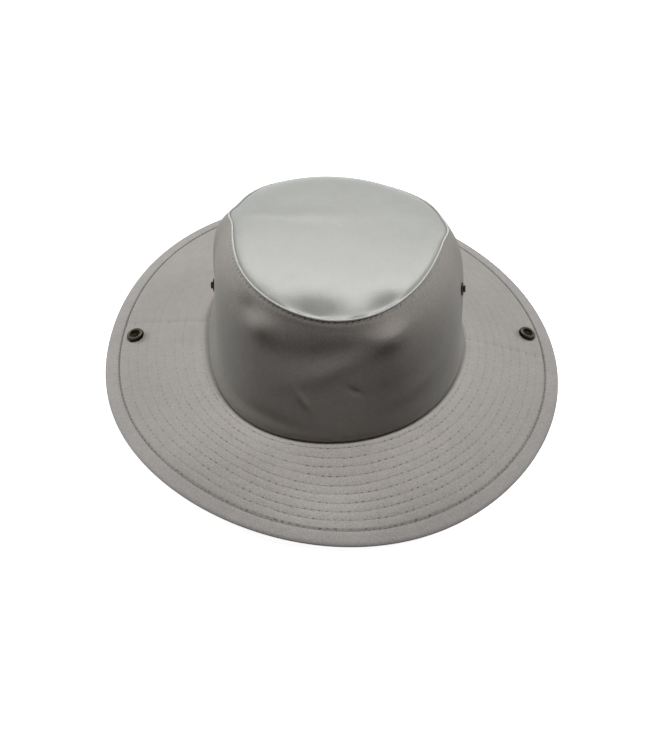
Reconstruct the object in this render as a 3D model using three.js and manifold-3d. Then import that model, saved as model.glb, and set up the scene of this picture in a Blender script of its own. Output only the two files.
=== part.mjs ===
// A wide-brim bush hat in cotton drill, with brim sides that snap up to the crown.
//
// Frame: millimetres, +Z up, Z = 0 is the surface that the brim rests on. The front of
// the hat faces -Y. "Left" is -X and "right" is +X. Angles go round the hat in degrees
// from +X (right) through +Y (back, 90) and -X (left, 180) to -Y (front, 270).
//
// The cloth is stiff and holds its form: an oval head opening, a wall that leans in to a
// smaller, flat-topped tip, and a brim that droops to the table and touches it in three places.

import * as THREE from 'three';
import { mergeVertices } from 'three/addons/utils/BufferGeometryUtils.js';
import Module from 'manifold-3d';

const wasm = await Module();
wasm.setup();

// ---- Cloth ----

const CROWN_CLOTH = 1.2; // thickness of the crown's wall and tip
const BRIM_CLOTH = 2.0; // thickness of the brim's quilted plies
const EDGE_CLOTH = 2.6; // thickness of the turned edge band
const EDGE_BAND_WIDTH = 9.5; // from the rim to the band's stitched inner edge
const WELT = 2.2; // diameter of the raised seam round the tip
const GAP = 0.3; // clearance between neighbouring pieces
const BRIM_CAMBER = 1.0; // how far the brim's middle bows up
const SEAM_TURN = 1.2; // how far the brim reaches in under the wall

// ---- The form ----

// One row for each section of the hat, 30 degrees apart. Each outline has its radius from
// the hat's axis and its height: rim (outer edge of the brim), head (seam of brim and
// crown) and tip (seam round the flat top). belly is how far the wall bows out between head
// and tip. flare is how far the wall's foot turns out, or rolls over the seam if negative.
// shoulder is how far the wall turns out just under the tip's seam.
const SECTIONS = [
  { angle: 0, rim: 152.0, rimUp: 3.2, head: 87.0, headUp: 20.5, tip: 65.0, tipUp: 109.0, belly: 3.5, flare: 4.0, shoulder: 5.5 },
  { angle: 30, rim: 153.0, rimUp: 2.8, head: 88.0, headUp: 18.0, tip: 66.0, tipUp: 105.0, belly: 5.0, flare: 2.0, shoulder: 4.0 },
  { angle: 60, rim: 162.5, rimUp: 0.4, head: 94.5, headUp: 16.5, tip: 66.5, tipUp: 99.0, belly: 5.0, flare: 1.0, shoulder: 3.0 },
  { angle: 90, rim: 169.0, rimUp: 2.3, head: 100.0, headUp: 17.0, tip: 70.0, tipUp: 95.0, belly: 5.0, flare: 1.0, shoulder: 3.0 },
  { angle: 120, rim: 165.0, rimUp: 3.8, head: 98.5, headUp: 18.0, tip: 70.0, tipUp: 98.0, belly: 5.0, flare: 1.0, shoulder: 4.0 },
  { angle: 150, rim: 157.5, rimUp: 2.3, head: 91.0, headUp: 17.0, tip: 69.5, tipUp: 103.0, belly: 4.0, flare: 4.0, shoulder: 6.0 },
  { angle: 180, rim: 152.0, rimUp: 0.4, head: 84.5, headUp: 16.0, tip: 66.0, tipUp: 107.5, belly: 3.0, flare: 9.0, shoulder: 7.5 },
  { angle: 210, rim: 155.0, rimUp: 3.3, head: 87.5, headUp: 15.5, tip: 70.0, tipUp: 107.0, belly: 3.0, flare: 4.0, shoulder: 7.0 },
  { angle: 240, rim: 160.8, rimUp: 5.8, head: 97.0, headUp: 16.5, tip: 77.0, tipUp: 104.0, belly: 1.5, flare: -1.0, shoulder: 2.5 },
  { angle: 270, rim: 166.0, rimUp: 4.2, head: 100.0, headUp: 20.0, tip: 79.5, tipUp: 102.0, belly: -0.5, flare: -1.5, shoulder: 1.6 },
  { angle: 300, rim: 162.3, rimUp: 0.4, head: 97.5, headUp: 23.0, tip: 74.5, tipUp: 106.0, belly: 1.0, flare: -1.0, shoulder: 5.5 },
  { angle: 330, rim: 155.5, rimUp: 1.2, head: 90.5, headUp: 23.0, tip: 66.0, tipUp: 109.5, belly: 4.0, flare: 1.5, shoulder: 6.0 },
];

// The tip's seam turns a soft corner on each side, where it stands out this much further.
const TIP_CORNERS = [
  { angle: 171, out: 3.5, spread: 7 },
  { angle: 2, out: 2.2, spread: 8 },
];

const AXIS_Y = -1.5; // the hat's axis stands here, so that its outline is centred on the origin
const TIP_MIDDLE_UP = 108.5; // height of the tip's middle
const TIP_ROLL_FRONT = 1.5; // how far the tip's cloth rolls down to its seam at the front
const TIP_ROLL_BACK = 4.0; // and at the back
const BACK_TURN = 3; // how sharply the front's roll gives way to the back's at the sides
const FLARE_SHARE = 0.1; // share of the wall's height in which the foot turns out
const SHOULDER_SHARE = 0.09; // share of the wall's height in which the shoulder turns out
const WALL_LIFT = 0.5; // from the brim's cloth up to the wall's foot

// Dents in the tip: place, half width in X and Y, and depth.
const TIP_DENTS = [
  { x: -12, y: -80, halfX: 17, halfY: 13, deep: 5.8 },
  { x: 31, y: -74, halfX: 10, halfY: 12, deep: 5.4 },
  { x: -46, y: -66, halfX: 7, halfY: 7, deep: 1.2 },
  { x: 0, y: 60, halfX: 60, halfY: 22, deep: -2.0 },
];

// Folds of the wall: place (angle, and share of the height), half length round and up the
// wall, how far the fold leans from level, and depth (negative stands out).
const WALL_FOLDS = [
  { angle: 231, up: 0.90, halfRound: 8, halfUp: 7, lean: 0, deep: 2.4 },
  { angle: 239, up: 0.84, halfRound: 10, halfUp: 8, lean: 0, deep: -2.1 },
  { angle: 264, up: 0.72, halfRound: 30, halfUp: 9, lean: 12, deep: 1.2 },
  { angle: 271, up: 0.64, halfRound: 26, halfUp: 6, lean: 29, deep: -0.8 },
  { angle: 292, up: 0.87, halfRound: 12, halfUp: 10, lean: 10, deep: -3.2 },
  { angle: 293, up: 0.62, halfRound: 18, halfUp: 22, lean: 0, deep: -1.8 },
  { angle: 260, up: 0.36, halfRound: 8, halfUp: 2.4, lean: -52, deep: -0.7 },
  { angle: 279, up: 0.44, halfRound: 5, halfUp: 2, lean: -35, deep: 0.5 },
  { angle: 305, up: 0.34, halfRound: 28, halfUp: 7, lean: 12, deep: -0.6 },
  { angle: 243, up: 0.13, halfRound: 30, halfUp: 6, lean: -8, deep: 1.0 },
];

// Waves of the brim: place (angle, and share of the width), half length round in degrees,
// half width as a share, and height.
const BRIM_WAVES = [
  { angle: 271, middle: 0.44, halfRound: 15, halfShare: 0.30, high: -2.8 },
  { angle: 236, middle: 0.60, halfRound: 15, halfShare: 0.34, high: 3.4 },
  { angle: 299, middle: 0.64, halfRound: 13, halfShare: 0.30, high: 1.8 },
  { angle: 304, middle: 0.15, halfRound: 14, halfShare: 0.14, high: -1.0 },
  { angle: 330, middle: 0.50, halfRound: 10, halfShare: 0.30, high: -0.5 },
  { angle: 205, middle: 0.60, halfRound: 10, halfShare: 0.30, high: -0.5 },
];
const WAVE_FADE_IN = 8; // a wave is whole an eighth of the width from the head seam
const WAVE_FADE_OUT = 5; // and a fifth of the width from the rim

// ---- Snap fasteners ----

// A socket sits on the brim and its stud on the crown, the same way from the head seam, so
// that they meet when the brim is folded up. share is the way from the head seam to the
// rim, or up the wall.
const SNAPS = [
  { side: 'left', socketAngle: 179.5, studAngle: 183, share: 0.72, wallShare: 0.48 },
  { side: 'right', socketAngle: 8.5, studAngle: 351, share: 0.72, wallShare: 0.61 },
];
const BRIM_CAP = { radius: 6.2, dome: 1.6, rim: 0.6, post: 1.6, past: 1.4 };
const WALL_CAP = { radius: 5.2, dome: 1.3, rim: 0.5, post: 1.2, past: 1.2 };

// Turned outlines above the seat. The socket is a ring with a floor; the stud has a flange, a
// neck and a head, and its bore takes the cap's post.
const SOCKET_OUTLINE = [
  { radius: 1.9, up: 0 },
  { radius: 5.6, up: 0 },
  { radius: 5.9, up: 0.5 },
  { radius: 5.7, up: 1.9 },
  { radius: 4.9, up: 2.6 },
  { radius: 4.0, up: 2.6 },
  { radius: 3.4, up: 2.0 },
  { radius: 3.2, up: 0.8 },
  { radius: 1.9, up: 0.8 },
  { radius: 1.9, up: 0 },
];
const STUD_OUTLINE = [
  { radius: 0, up: 1.6 },
  { radius: 1.5, up: 1.6 },
  { radius: 1.5, up: 0 },
  { radius: 4.3, up: 0 },
  { radius: 4.3, up: 0.45 },
  { radius: 3.9, up: 0.9 },
  { radius: 2.2, up: 1.0 },
  { radius: 2.1, up: 1.3 },
  { radius: 2.3, up: 1.7 },
  { radius: 2.2, up: 2.1 },
  { radius: 1.6, up: 2.3 },
  { radius: 0, up: 2.3 },
];

// A cap's dome, as shares of its radius and of its depth.
const CAP_DOME = [
  { out: 0, deep: 1 },
  { out: 0.5, deep: 0.94 },
  { out: 0.85, deep: 0.7 },
];
const CAP_EDGE = 0.1; // how far a cap's flat face stands in from its rim
const HOLE_CLEARANCE = 0.35; // round each post, where it passes through cloth
const WALL_CAP_GAP = 0.7; // the round wall curves in towards a flat cap behind it

// ---- Facets ----

const STEPS_ROUND = 60;
const BRIM_SEAMS = [0, 174]; // where the brim's front and back halves meet
const BRIM_SEAM_GAP = 0.13; // degrees left open on each side of such a seam
const SNAP_FACETS = 18;

const rad = THREE.MathUtils.degToRad;

// ---- Outlines ----

// A column of SECTIONS at any angle: the smooth wave round the hat through all its rows.
function column(name, angle) {
  const rows = SECTIONS.length;
  let sum = 0;
  for (const section of SECTIONS) {
    const half = rad(angle - section.angle) / 2;
    const weight = Math.abs(Math.sin(half)) < 1e-9
      ? 1
      : Math.sin(rows * half) * Math.cos(half) / (rows * Math.sin(half));
    sum += weight * section[name];
  }
  return sum;
}

// The shorter way round from one angle to another, in degrees.
function turn(from, to) {
  return THREE.MathUtils.euclideanModulo(to - from + 180, 360) - 180;
}

function tipRadius(angle) {
  let radius = column('tip', angle);
  for (const corner of TIP_CORNERS) {
    radius += corner.out * Math.exp(-((turn(corner.angle, angle) / corner.spread) ** 2));
  }
  return radius;
}

function polar(angle, radius, up) {
  return new THREE.Vector3(radius * Math.cos(rad(angle)), radius * Math.sin(rad(angle)), up);
}

// ---- Middle surfaces of the cloth ----

function brimWave(angle, share) {
  const fade = THREE.MathUtils.clamp(Math.min(WAVE_FADE_IN * share, WAVE_FADE_OUT * (1 - share)), 0, 1);
  let up = 0;
  for (const wave of BRIM_WAVES) {
    const round = turn(wave.angle, angle) / wave.halfRound;
    const across = (share - wave.middle) / wave.halfShare;
    up += wave.high * Math.exp(-round * round - across * across);
  }
  return up * fade;
}

// The brim, from the head seam (share 0) to the rim (share 1).
function brimPoint(angle, share) {
  const radius = THREE.MathUtils.lerp(column('head', angle), column('rim', angle), share);
  const up = THREE.MathUtils.lerp(column('headUp', angle), column('rimUp', angle), share);
  return polar(angle, radius, up + BRIM_CAMBER * Math.sin(Math.PI * share) + brimWave(angle, share));
}

function brimWidth(angle) {
  return column('rim', angle) - column('head', angle);
}

function wallDent(angle, share, radius, height) {
  let deep = 0;
  for (const fold of WALL_FOLDS) {
    const round = rad(turn(fold.angle, angle)) * radius;
    const up = (share - fold.up) * height;
    const lean = rad(fold.lean);
    const along = round * Math.cos(lean) + up * Math.sin(lean);
    const across = up * Math.cos(lean) - round * Math.sin(lean);
    deep += fold.deep * Math.exp(-((along / fold.halfRound) ** 2) - (across / fold.halfUp) ** 2);
  }
  return deep;
}

// The wall, from its foot on the brim (share 0) to its top under the welt (share 1).
function wallPoint(angle, share) {
  const foot = column('headUp', angle) + BRIM_CLOTH / 2 + WALL_LIFT;
  const top = column('tipUp', angle) - WELT / 2 - GAP;
  const straight = THREE.MathUtils.lerp(column('head', angle), tipRadius(angle), share);
  const belly = column('belly', angle) * 4 * share * (1 - share) * (0.6 + 0.8 * share);
  const tuck = column('flare', angle) * (1 - Math.exp(-share / FLARE_SHARE)) * (1 - share);
  const shoulder = column('shoulder', angle) * (1 - Math.exp((share - 1) / SHOULDER_SHARE)) * share;
  const edge = Math.min(1, 8 * share, 8 * (1 - share));
  const dent = edge * wallDent(angle, share, straight, top - foot);
  return polar(angle, straight + belly + shoulder - tuck - dent, THREE.MathUtils.lerp(foot, top, share));
}

// The tip, from its middle (share 0) to its edge inside the welt (share 1).
function tipPoint(angle, share) {
  const edge = tipRadius(angle) - WELT / 2 - GAP;
  const point = polar(angle, edge * share, 0);
  const drop = TIP_MIDDLE_UP - column('tipUp', angle);
  const fallBack = (drop - TIP_ROLL_BACK) * share ** 3 + TIP_ROLL_BACK * share ** 8;
  const fallFront = (drop - TIP_ROLL_FRONT) * share ** 2 + TIP_ROLL_FRONT * share ** 20;
  const backness = 0.5 + 0.5 * Math.tanh(BACK_TURN * Math.sin(rad(angle)));
  let up = TIP_MIDDLE_UP - THREE.MathUtils.lerp(fallFront, fallBack, backness);
  for (const dent of TIP_DENTS) {
    const x = (point.x - dent.x) / dent.halfX;
    const y = (point.y - dent.y) / dent.halfY;
    up -= dent.deep * (1 - share ** 40) * Math.exp(-x * x - y * y);
  }
  point.z = up;
  return point;
}

// ---- Solids ----

// A closed body from triangles whose corners are points; flat triangles are left out.
class Body {
  constructor() {
    this.corners = [];
  }

  triangle(a, b, c) {
    const area = b.clone().sub(a).cross(c.clone().sub(a)).length() / 2;
    if (area > 1e-6) {
      this.corners.push(a.x, a.y, a.z, b.x, b.y, b.z, c.x, c.y, c.z);
    }
  }

  quad(a, b, c, d) {
    this.triangle(a, b, c);
    this.triangle(a, c, d);
  }

  geometry() {
    const loose = new THREE.BufferGeometry();
    loose.setAttribute('position', new THREE.Float32BufferAttribute(this.corners, 3));
    return mergeVertices(loose, 1e-4);
  }
}

// A sheet of cloth between two layers of points. outer(i, j) and inner(i, j) give the
// layers' points; i goes round the hat in anticlockwise steps, and j goes down or outwards.
// An open sheet has ends; a closed one runs right round.
function sheet({ outer, inner, steps, rows, closed, pole }) {
  const body = new Body();
  for (let i = 0; i < steps; i += 1) {
    const next = closed ? (i + 1) % steps : i + 1;
    for (let j = 0; j < rows; j += 1) {
      body.quad(outer(i, j), outer(i, j + 1), outer(next, j + 1), outer(next, j));
      body.quad(inner(i, j), inner(next, j), inner(next, j + 1), inner(i, j + 1));
    }
    body.quad(outer(i, rows), inner(i, rows), inner(next, rows), outer(next, rows));
    if (!pole) {
      body.quad(outer(i, 0), outer(next, 0), inner(next, 0), inner(i, 0));
    }
  }
  if (!closed) {
    for (let j = 0; j < rows; j += 1) {
      body.quad(outer(0, j), inner(0, j), inner(0, j + 1), outer(0, j + 1));
      body.quad(outer(steps, j), outer(steps, j + 1), inner(steps, j + 1), inner(steps, j));
    }
  }
  return body.geometry();
}

const roundAngle = (i) => (360 * i) / STEPS_ROUND;
const raised = (point, up) => point.clone().setZ(point.z + up);
const pushedOut = (point, out) => {
  const radius = Math.hypot(point.x, point.y);
  return new THREE.Vector3(point.x * (1 + out / radius), point.y * (1 + out / radius), point.z);
};

function wallGeometry() {
  const shares = [1, 0.95, 0.88, 0.8, 0.7, 0.6, 0.48, 0.36, 0.24, 0.12, 0.05, 0];
  const middle = (i, j) => wallPoint(roundAngle(i), shares[j]);
  return sheet({
    outer: (i, j) => pushedOut(middle(i, j), CROWN_CLOTH / 2),
    inner: (i, j) => pushedOut(middle(i, j), -CROWN_CLOTH / 2),
    steps: STEPS_ROUND,
    rows: shares.length - 1,
    closed: true,
  });
}

function tipGeometry() {
  const shares = [0, 0.25, 0.5, 0.7, 0.82, 0.9, 0.96, 1];
  const middle = (i, j) => tipPoint(roundAngle(i), shares[j]);
  return sheet({
    outer: (i, j) => raised(middle(i, j), CROWN_CLOTH / 2),
    inner: (i, j) => raised(middle(i, j), -CROWN_CLOTH / 2),
    steps: STEPS_ROUND,
    rows: shares.length - 1,
    closed: true,
    pole: true,
  });
}

// The raised seam: a round cord of cloth along the tip's outline.
function weltGeometry() {
  const facets = 8;
  const body = new Body();
  const point = (i, k) => {
    const angle = roundAngle(i % STEPS_ROUND);
    const around = (2 * Math.PI * (k % facets)) / facets;
    const radius = tipRadius(angle) + (WELT / 2) * Math.cos(around);
    return polar(angle, radius, column('tipUp', angle) + (WELT / 2) * Math.sin(around));
  };
  for (let i = 0; i < STEPS_ROUND; i += 1) {
    for (let k = 0; k < facets; k += 1) {
      body.quad(point(i, k), point(i + 1, k), point(i + 1, k + 1), point(i, k + 1));
    }
  }
  return body.geometry();
}

// One half of the brim, between two side seams.
function brimHalfGeometry(from, to) {
  const rows = 7;
  const steps = Math.round((to - from) / (360 / STEPS_ROUND));
  const angleAt = (i) => {
    const angle = from + ((to - from) * i) / steps;
    return THREE.MathUtils.clamp(angle, from + BRIM_SEAM_GAP, to - BRIM_SEAM_GAP);
  };
  const middle = (i, j) => {
    const angle = angleAt(i);
    const width = brimWidth(angle);
    const inner = -SEAM_TURN / width;
    const outer = 1 - (EDGE_BAND_WIDTH + GAP) / width;
    return brimPoint(angle, THREE.MathUtils.lerp(inner, outer, j / rows));
  };
  return sheet({
    outer: (i, j) => raised(middle(i, j), BRIM_CLOTH / 2),
    inner: (i, j) => raised(middle(i, j), -BRIM_CLOTH / 2),
    steps,
    rows,
    closed: false,
  });
}

// The turned edge of the brim. Its outer edge is rounded, and it lies flat on the table
// wherever the rim comes down to it.
function edgeBandGeometry() {
  const profile = [
    { in: EDGE_BAND_WIDTH, half: EDGE_CLOTH / 2 },
    { in: 5.5, half: EDGE_CLOTH / 2 },
    { in: 2.2, half: EDGE_CLOTH / 2 },
    { in: 0.7, half: 1.05 },
    { in: 0, half: 0.45 },
  ];
  const middle = (i, j) => {
    const angle = roundAngle(i);
    return brimPoint(angle, 1 - profile[j].in / brimWidth(angle));
  };
  const onTable = (point) => point.setZ(Math.max(0, point.z));
  return sheet({
    outer: (i, j) => raised(middle(i, j), profile[j].half),
    inner: (i, j) => onTable(raised(middle(i, j), -profile[j].half)),
    steps: STEPS_ROUND,
    rows: profile.length - 1,
    closed: true,
  });
}

// ---- Snap fasteners ----

// A turned piece from its outline, which stands on the seat at Z = 0.
function turned(outline) {
  const points = outline.map(({ radius, up }) => new THREE.Vector2(radius, up));
  const lathe = new THREE.LatheGeometry(points, SNAP_FACETS);
  lathe.rotateX(Math.PI / 2);
  return lathe;
}

// A domed cap below Z = 0 with a post standing up from it.
function capGeometry({ radius, dome, rim, post }, postHeight) {
  return turned([
    ...CAP_DOME.map(({ out, deep }) => ({ radius: radius * out, up: -dome * deep })),
    { radius, up: -rim },
    { radius: radius - CAP_EDGE, up: 0 },
    { radius: post, up: 0 },
    { radius: post, up: postHeight },
    { radius: 0, up: postHeight },
  ]);
}

// The outward direction of a surface at a point, from its neighbours round and along it.
function facing(surface, angle, share) {
  const round = surface(angle + 0.5, share).sub(surface(angle - 0.5, share));
  const along = surface(angle, share + 0.01).sub(surface(angle, share - 0.01));
  const normal = round.cross(along).normalize();
  return surface === brimPoint ? normal.negate() : normal;
}

// ---- Assembly ----

const cotton = (name, colour) => {
  const material = new THREE.MeshStandardMaterial({ color: colour, roughness: 0.92, metalness: 0 });
  material.name = name;
  return material;
};
const brass = (name) => {
  const material = new THREE.MeshStandardMaterial({ color: '#4a4035', roughness: 0.42, metalness: 0.9 });
  material.name = name;
  return material;
};

const hat = new THREE.Group();
hat.position.y = AXIS_Y;

function add(name, geometry, material) {
  const mesh = new THREE.Mesh(geometry, material);
  mesh.name = name;
  hat.add(mesh);
  return mesh;
}

function solidOf(geometry) {
  const bare = geometry.clone();
  bare.deleteAttribute('normal');
  bare.deleteAttribute('uv');
  const merged = mergeVertices(bare, 1e-4);
  return new wasm.Manifold(new wasm.Mesh({
    numProp: 3,
    vertProperties: new Float32Array(merged.attributes.position.array),
    triVerts: new Uint32Array(merged.index.array),
  }));
}

function geometryOf(solid) {
  const { vertProperties, triVerts } = solid.getMesh();
  const geometry = new THREE.BufferGeometry();
  geometry.setAttribute('position', new THREE.BufferAttribute(vertProperties, 3));
  geometry.setIndex(new THREE.BufferAttribute(triVerts, 1));
  return geometry;
}

// A round hole through cloth, where a post stands at a seat.
function pierced(geometry, seat, radius) {
  const drill = new THREE.CylinderGeometry(radius, radius, 12, SNAP_FACETS);
  drill.rotateX(Math.PI / 2);
  drill.applyQuaternion(seat.quaternion);
  drill.translate(seat.point.x, seat.point.y, seat.point.z);
  return geometryOf(solidOf(geometry).subtract(solidOf(drill)));
}

// A seat for a fastener: a point in the middle of the cloth and the turn that stands
// local Z along the cloth's outward direction.
function seatOn(surface, angle, share) {
  const normal = facing(surface, angle, share);
  return {
    point: surface(angle, share),
    normal,
    quaternion: new THREE.Quaternion().setFromUnitVectors(new THREE.Vector3(0, 0, 1), normal),
  };
}

function mount(name, geometry, seat, out) {
  const mesh = add(name, geometry, brass(name));
  mesh.quaternion.copy(seat.quaternion);
  mesh.position.copy(seat.point).addScaledVector(seat.normal, out);
}

let wall = wallGeometry();
const halves = [
  { name: 'brim_back', geometry: brimHalfGeometry(BRIM_SEAMS[0], BRIM_SEAMS[1]) },
  { name: 'brim_front', geometry: brimHalfGeometry(BRIM_SEAMS[1], BRIM_SEAMS[0] + 360) },
];

for (const snap of SNAPS) {
  const half = halves[snap.socketAngle > BRIM_SEAMS[1] ? 1 : 0];
  const onBrim = seatOn(brimPoint, snap.socketAngle, snap.share);
  const onWall = seatOn(wallPoint, snap.studAngle, snap.wallShare);
  half.geometry = pierced(half.geometry, onBrim, BRIM_CAP.post + HOLE_CLEARANCE);
  wall = pierced(wall, onWall, WALL_CAP.post + HOLE_CLEARANCE);

  const offBrim = BRIM_CLOTH / 2 + GAP;
  const offWall = CROWN_CLOTH / 2 + GAP;
  const behindWall = CROWN_CLOTH / 2 + WALL_CAP_GAP;
  mount(`snap_socket_${snap.side}`, turned(SOCKET_OUTLINE), onBrim, offBrim);
  mount(`snap_cap_${snap.side}`, capGeometry(BRIM_CAP, 2 * offBrim + BRIM_CAP.past), onBrim, -offBrim);
  mount(`crown_stud_${snap.side}`, turned(STUD_OUTLINE), onWall, offWall);
  mount(`stud_cap_${snap.side}`, capGeometry(WALL_CAP, behindWall + offWall + WALL_CAP.past), onWall, -behindWall);
}

for (const { name, geometry } of halves) {
  add(name, geometry, cotton(name, '#b4aea5'));
}
add('brim_edge_band', edgeBandGeometry(), cotton('brim_edge_band', '#b0aaa1'));
add('crown_wall', wall, cotton('crown_wall', '#aeaaa1'));
add('crown_tip', tipGeometry(), cotton('crown_tip', '#bdbbb3'));
add('tip_welt', weltGeometry(), cotton('tip_welt', '#c9c6be'));

export default hat;
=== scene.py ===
# %% [markdown]
# # A wide-brim bush hat, sewn from cotton drill
#
# The real hat is a handful of cloth pieces and two small snap fasteners. An oval tip is sewn to
# a leaning wall along a narrow raised seam, which is the welt. The brim is two half rings of
# doubled cloth, quilted together with nine rings of stitches, and a turned band closes its rim.
#
# The CAD model holds each piece at its true size as a coarse solid. This script makes the fine
# surface of each piece in the same place: the folds, the stitched grooves, the thread itself,
# the weave and the aged brass. Lengths are in millimetres until a mesh is made.

# %% Load the frame that every piece is built in
import math

import bmesh
import bpy
import numpy as np
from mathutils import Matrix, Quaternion, Vector


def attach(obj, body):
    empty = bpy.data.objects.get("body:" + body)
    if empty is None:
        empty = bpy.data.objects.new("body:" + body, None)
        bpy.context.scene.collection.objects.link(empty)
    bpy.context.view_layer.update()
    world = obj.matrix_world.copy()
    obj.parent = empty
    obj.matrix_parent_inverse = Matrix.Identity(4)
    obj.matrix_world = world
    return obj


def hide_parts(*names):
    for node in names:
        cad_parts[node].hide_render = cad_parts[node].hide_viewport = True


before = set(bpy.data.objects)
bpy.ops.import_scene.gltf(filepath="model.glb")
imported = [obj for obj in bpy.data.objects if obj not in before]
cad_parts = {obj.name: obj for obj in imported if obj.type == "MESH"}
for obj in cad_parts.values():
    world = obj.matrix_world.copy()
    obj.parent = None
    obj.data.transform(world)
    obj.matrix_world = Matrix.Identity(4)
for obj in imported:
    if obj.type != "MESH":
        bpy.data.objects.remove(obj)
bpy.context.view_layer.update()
BODY = "root"
MM = 0.001
print("pieces in the frame:", ", ".join(sorted(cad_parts)))

# %% [markdown]
# ## The camera
#
# The hat is seen from the front and well above, as by someone who stands at a table. The camera
# is also tipped a little to one side, so the hat looks turned on the page. Blender's cameras
# look along their own -Z axis, so the script aims that axis first and then rolls the camera
# about it. A 60 mm lens at this distance keeps the oval brim from looking stretched.

# %% Camera
CAMERA_AT = Vector((-2.3, -612.3, 578.5)) * MM
LOOK_DOWN = math.radians(44.08)
LOOK_ASIDE = math.radians(0.24)
CAMERA_ROLL = math.radians(3.17)
LENS = 60.45

camera_data = bpy.data.cameras.new("camera")
camera_data.lens = LENS
camera_data.sensor_width = 36.0
camera_data.clip_start = 0.01
camera_data.clip_end = 50.0
camera = bpy.data.objects.new("camera", camera_data)
bpy.context.scene.collection.objects.link(camera)
aim = Vector((
    math.sin(LOOK_ASIDE) * math.cos(LOOK_DOWN),
    math.cos(LOOK_ASIDE) * math.cos(LOOK_DOWN),
    -math.sin(LOOK_DOWN),
))
camera.location = CAMERA_AT
camera.rotation_mode = "QUATERNION"
camera.rotation_quaternion = aim.to_track_quat("-Z", "Y") @ Quaternion((0, 0, 1), CAMERA_ROLL)
bpy.context.scene.camera = camera
print("camera stands", round(CAMERA_AT.length, 3), "m from the hat's middle")

# %% [markdown]
# ## The form of the hat
#
# A hat maker describes a hat by a few outlines at different heights: the head seam, the rim of
# the brim and the seam of the tip. Here each outline is a table with one row every 30 degrees
# round the hat, and between the rows it follows a smooth wave that passes through all of them.
# The same twelve rows shape the CAD solids, so the fine cloth lies where they do. Subdividing a
# rough cage is the usual way to such a form, but a table keeps the true measures in sight.
#
# Angles go round as in geometry: 0 is +X, on the right of someone who faces the hat, 90 is the
# back, 180 the left and 270 the front.

# %% Sizes of the cloth
CROWN_CLOTH = 1.2  # thickness of the wall and the tip
BRIM_CLOTH = 2.0  # thickness of the brim's plies together
EDGE_BAND_WIDTH = 9.5
WELT = 2.2  # thickness of the cord of cloth in the tip seam
GAP = 0.3  # between pieces that touch on the real hat
BRIM_CAMBER = 1.0  # how far the brim bulges up between the head seam and the rim
SEAM_TURN = 1.2  # how far the brim goes in under the wall
AXIS_Y = -1.5  # where the hat's upright axis stands
WALL_LIFT = 0.5  # from the brim's cloth up to the wall's foot
print("the cloth is", CROWN_CLOTH, "mm thick in the crown and", BRIM_CLOTH, "mm in the brim")

# %% Sections round the hat
NEVER_ZERO = 1e-9
SECTION_NAMES = (
    "angle", "rim", "rim_up", "head", "head_up", "tip", "tip_up", "belly", "flare", "shoulder",
)
# The angle is in degrees and the rest in millimetres. rim, head and tip are radii, and each has
# its height. belly is how far the wall bulges, flare how far its foot spreads and shoulder how
# far it rounds over at the top.
SECTIONS = np.array([
    (0, 152.0, 3.2, 87.0, 20.5, 65.0, 109.0, 3.5, 4.0, 5.5),
    (30, 153.0, 2.8, 88.0, 18.0, 66.0, 105.0, 5.0, 2.0, 4.0),
    (60, 162.5, 0.4, 94.5, 16.5, 66.5, 99.0, 5.0, 1.0, 3.0),
    (90, 169.0, 2.3, 100.0, 17.0, 70.0, 95.0, 5.0, 1.0, 3.0),
    (120, 165.0, 3.8, 98.5, 18.0, 70.0, 98.0, 5.0, 1.0, 4.0),
    (150, 157.5, 2.3, 91.0, 17.0, 69.5, 103.0, 4.0, 4.0, 6.0),
    (180, 152.0, 0.4, 84.5, 16.0, 66.0, 107.5, 3.0, 9.0, 7.5),
    (210, 155.0, 3.3, 87.5, 15.5, 70.0, 107.0, 3.0, 4.0, 7.0),
    (240, 160.8, 5.8, 97.0, 16.5, 77.0, 104.0, 1.5, -1.0, 2.5),
    (270, 166.0, 4.2, 100.0, 20.0, 79.5, 102.0, -0.5, -1.5, 1.6),
    (300, 162.3, 0.4, 97.5, 23.0, 74.5, 106.0, 1.0, -1.0, 5.5),
    (330, 155.5, 1.2, 90.5, 23.0, 66.0, 109.5, 4.0, 1.5, 6.0),
])
COLUMNS = dict(zip(SECTION_NAMES, SECTIONS.T))


def column(name, turn):
    """One outline's value at any angle, in radians: the smooth wave through the twelve rows."""
    count = len(SECTIONS)
    half = (np.asarray(turn, float)[..., None] - np.radians(COLUMNS["angle"])) / 2
    half = np.where(abs(np.sin(half)) < NEVER_ZERO, NEVER_ZERO, half)
    weight = np.sin(count * half) * np.cos(half) / (count * np.sin(half))
    return (weight * COLUMNS[name]).sum(-1)


# %% Angles, bells and places


def away(turn, angle):
    """How far round from an angle in degrees, in degrees from -180 to 180."""
    return (np.degrees(turn) - angle + 180) % 360 - 180


def bump(value):
    """A soft bell that is 1 at zero and fades out past 1."""
    return np.exp(-np.square(value))


def place(turn, radius, up):
    """Points in millimetres from an angle, a distance from the hat's axis and a height."""
    return np.stack([radius * np.cos(turn), radius * np.sin(turn) + AXIS_Y, up], -1)


def ring_length(radius, turn):
    """Length of a closed line round the hat, in millimetres."""
    points = np.stack([radius * np.cos(turn), radius * np.sin(turn)], -1)
    return float(np.linalg.norm(np.diff(points, axis=0), axis=1).sum())


FULL_TURN = np.linspace(0, 2 * np.pi, 721)  # every half degree
HEAD_ROUND = ring_length(column("head", FULL_TURN), FULL_TURN)
print("the head seam measures", round(HEAD_ROUND), "mm round")

# %% [markdown]
# ## Folds and dents
#
# Cotton drill is stiff, but a hat that has been worn and packed has soft dents. Each one is a
# bell-shaped push on the smooth form, given by its place, its half sizes and its depth. Such a
# list can be adjusted by eye, which is easier than sculpting and gives the same hat every time.
# A cloth simulation would make folds too, but not the ones that this hat has.

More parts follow.
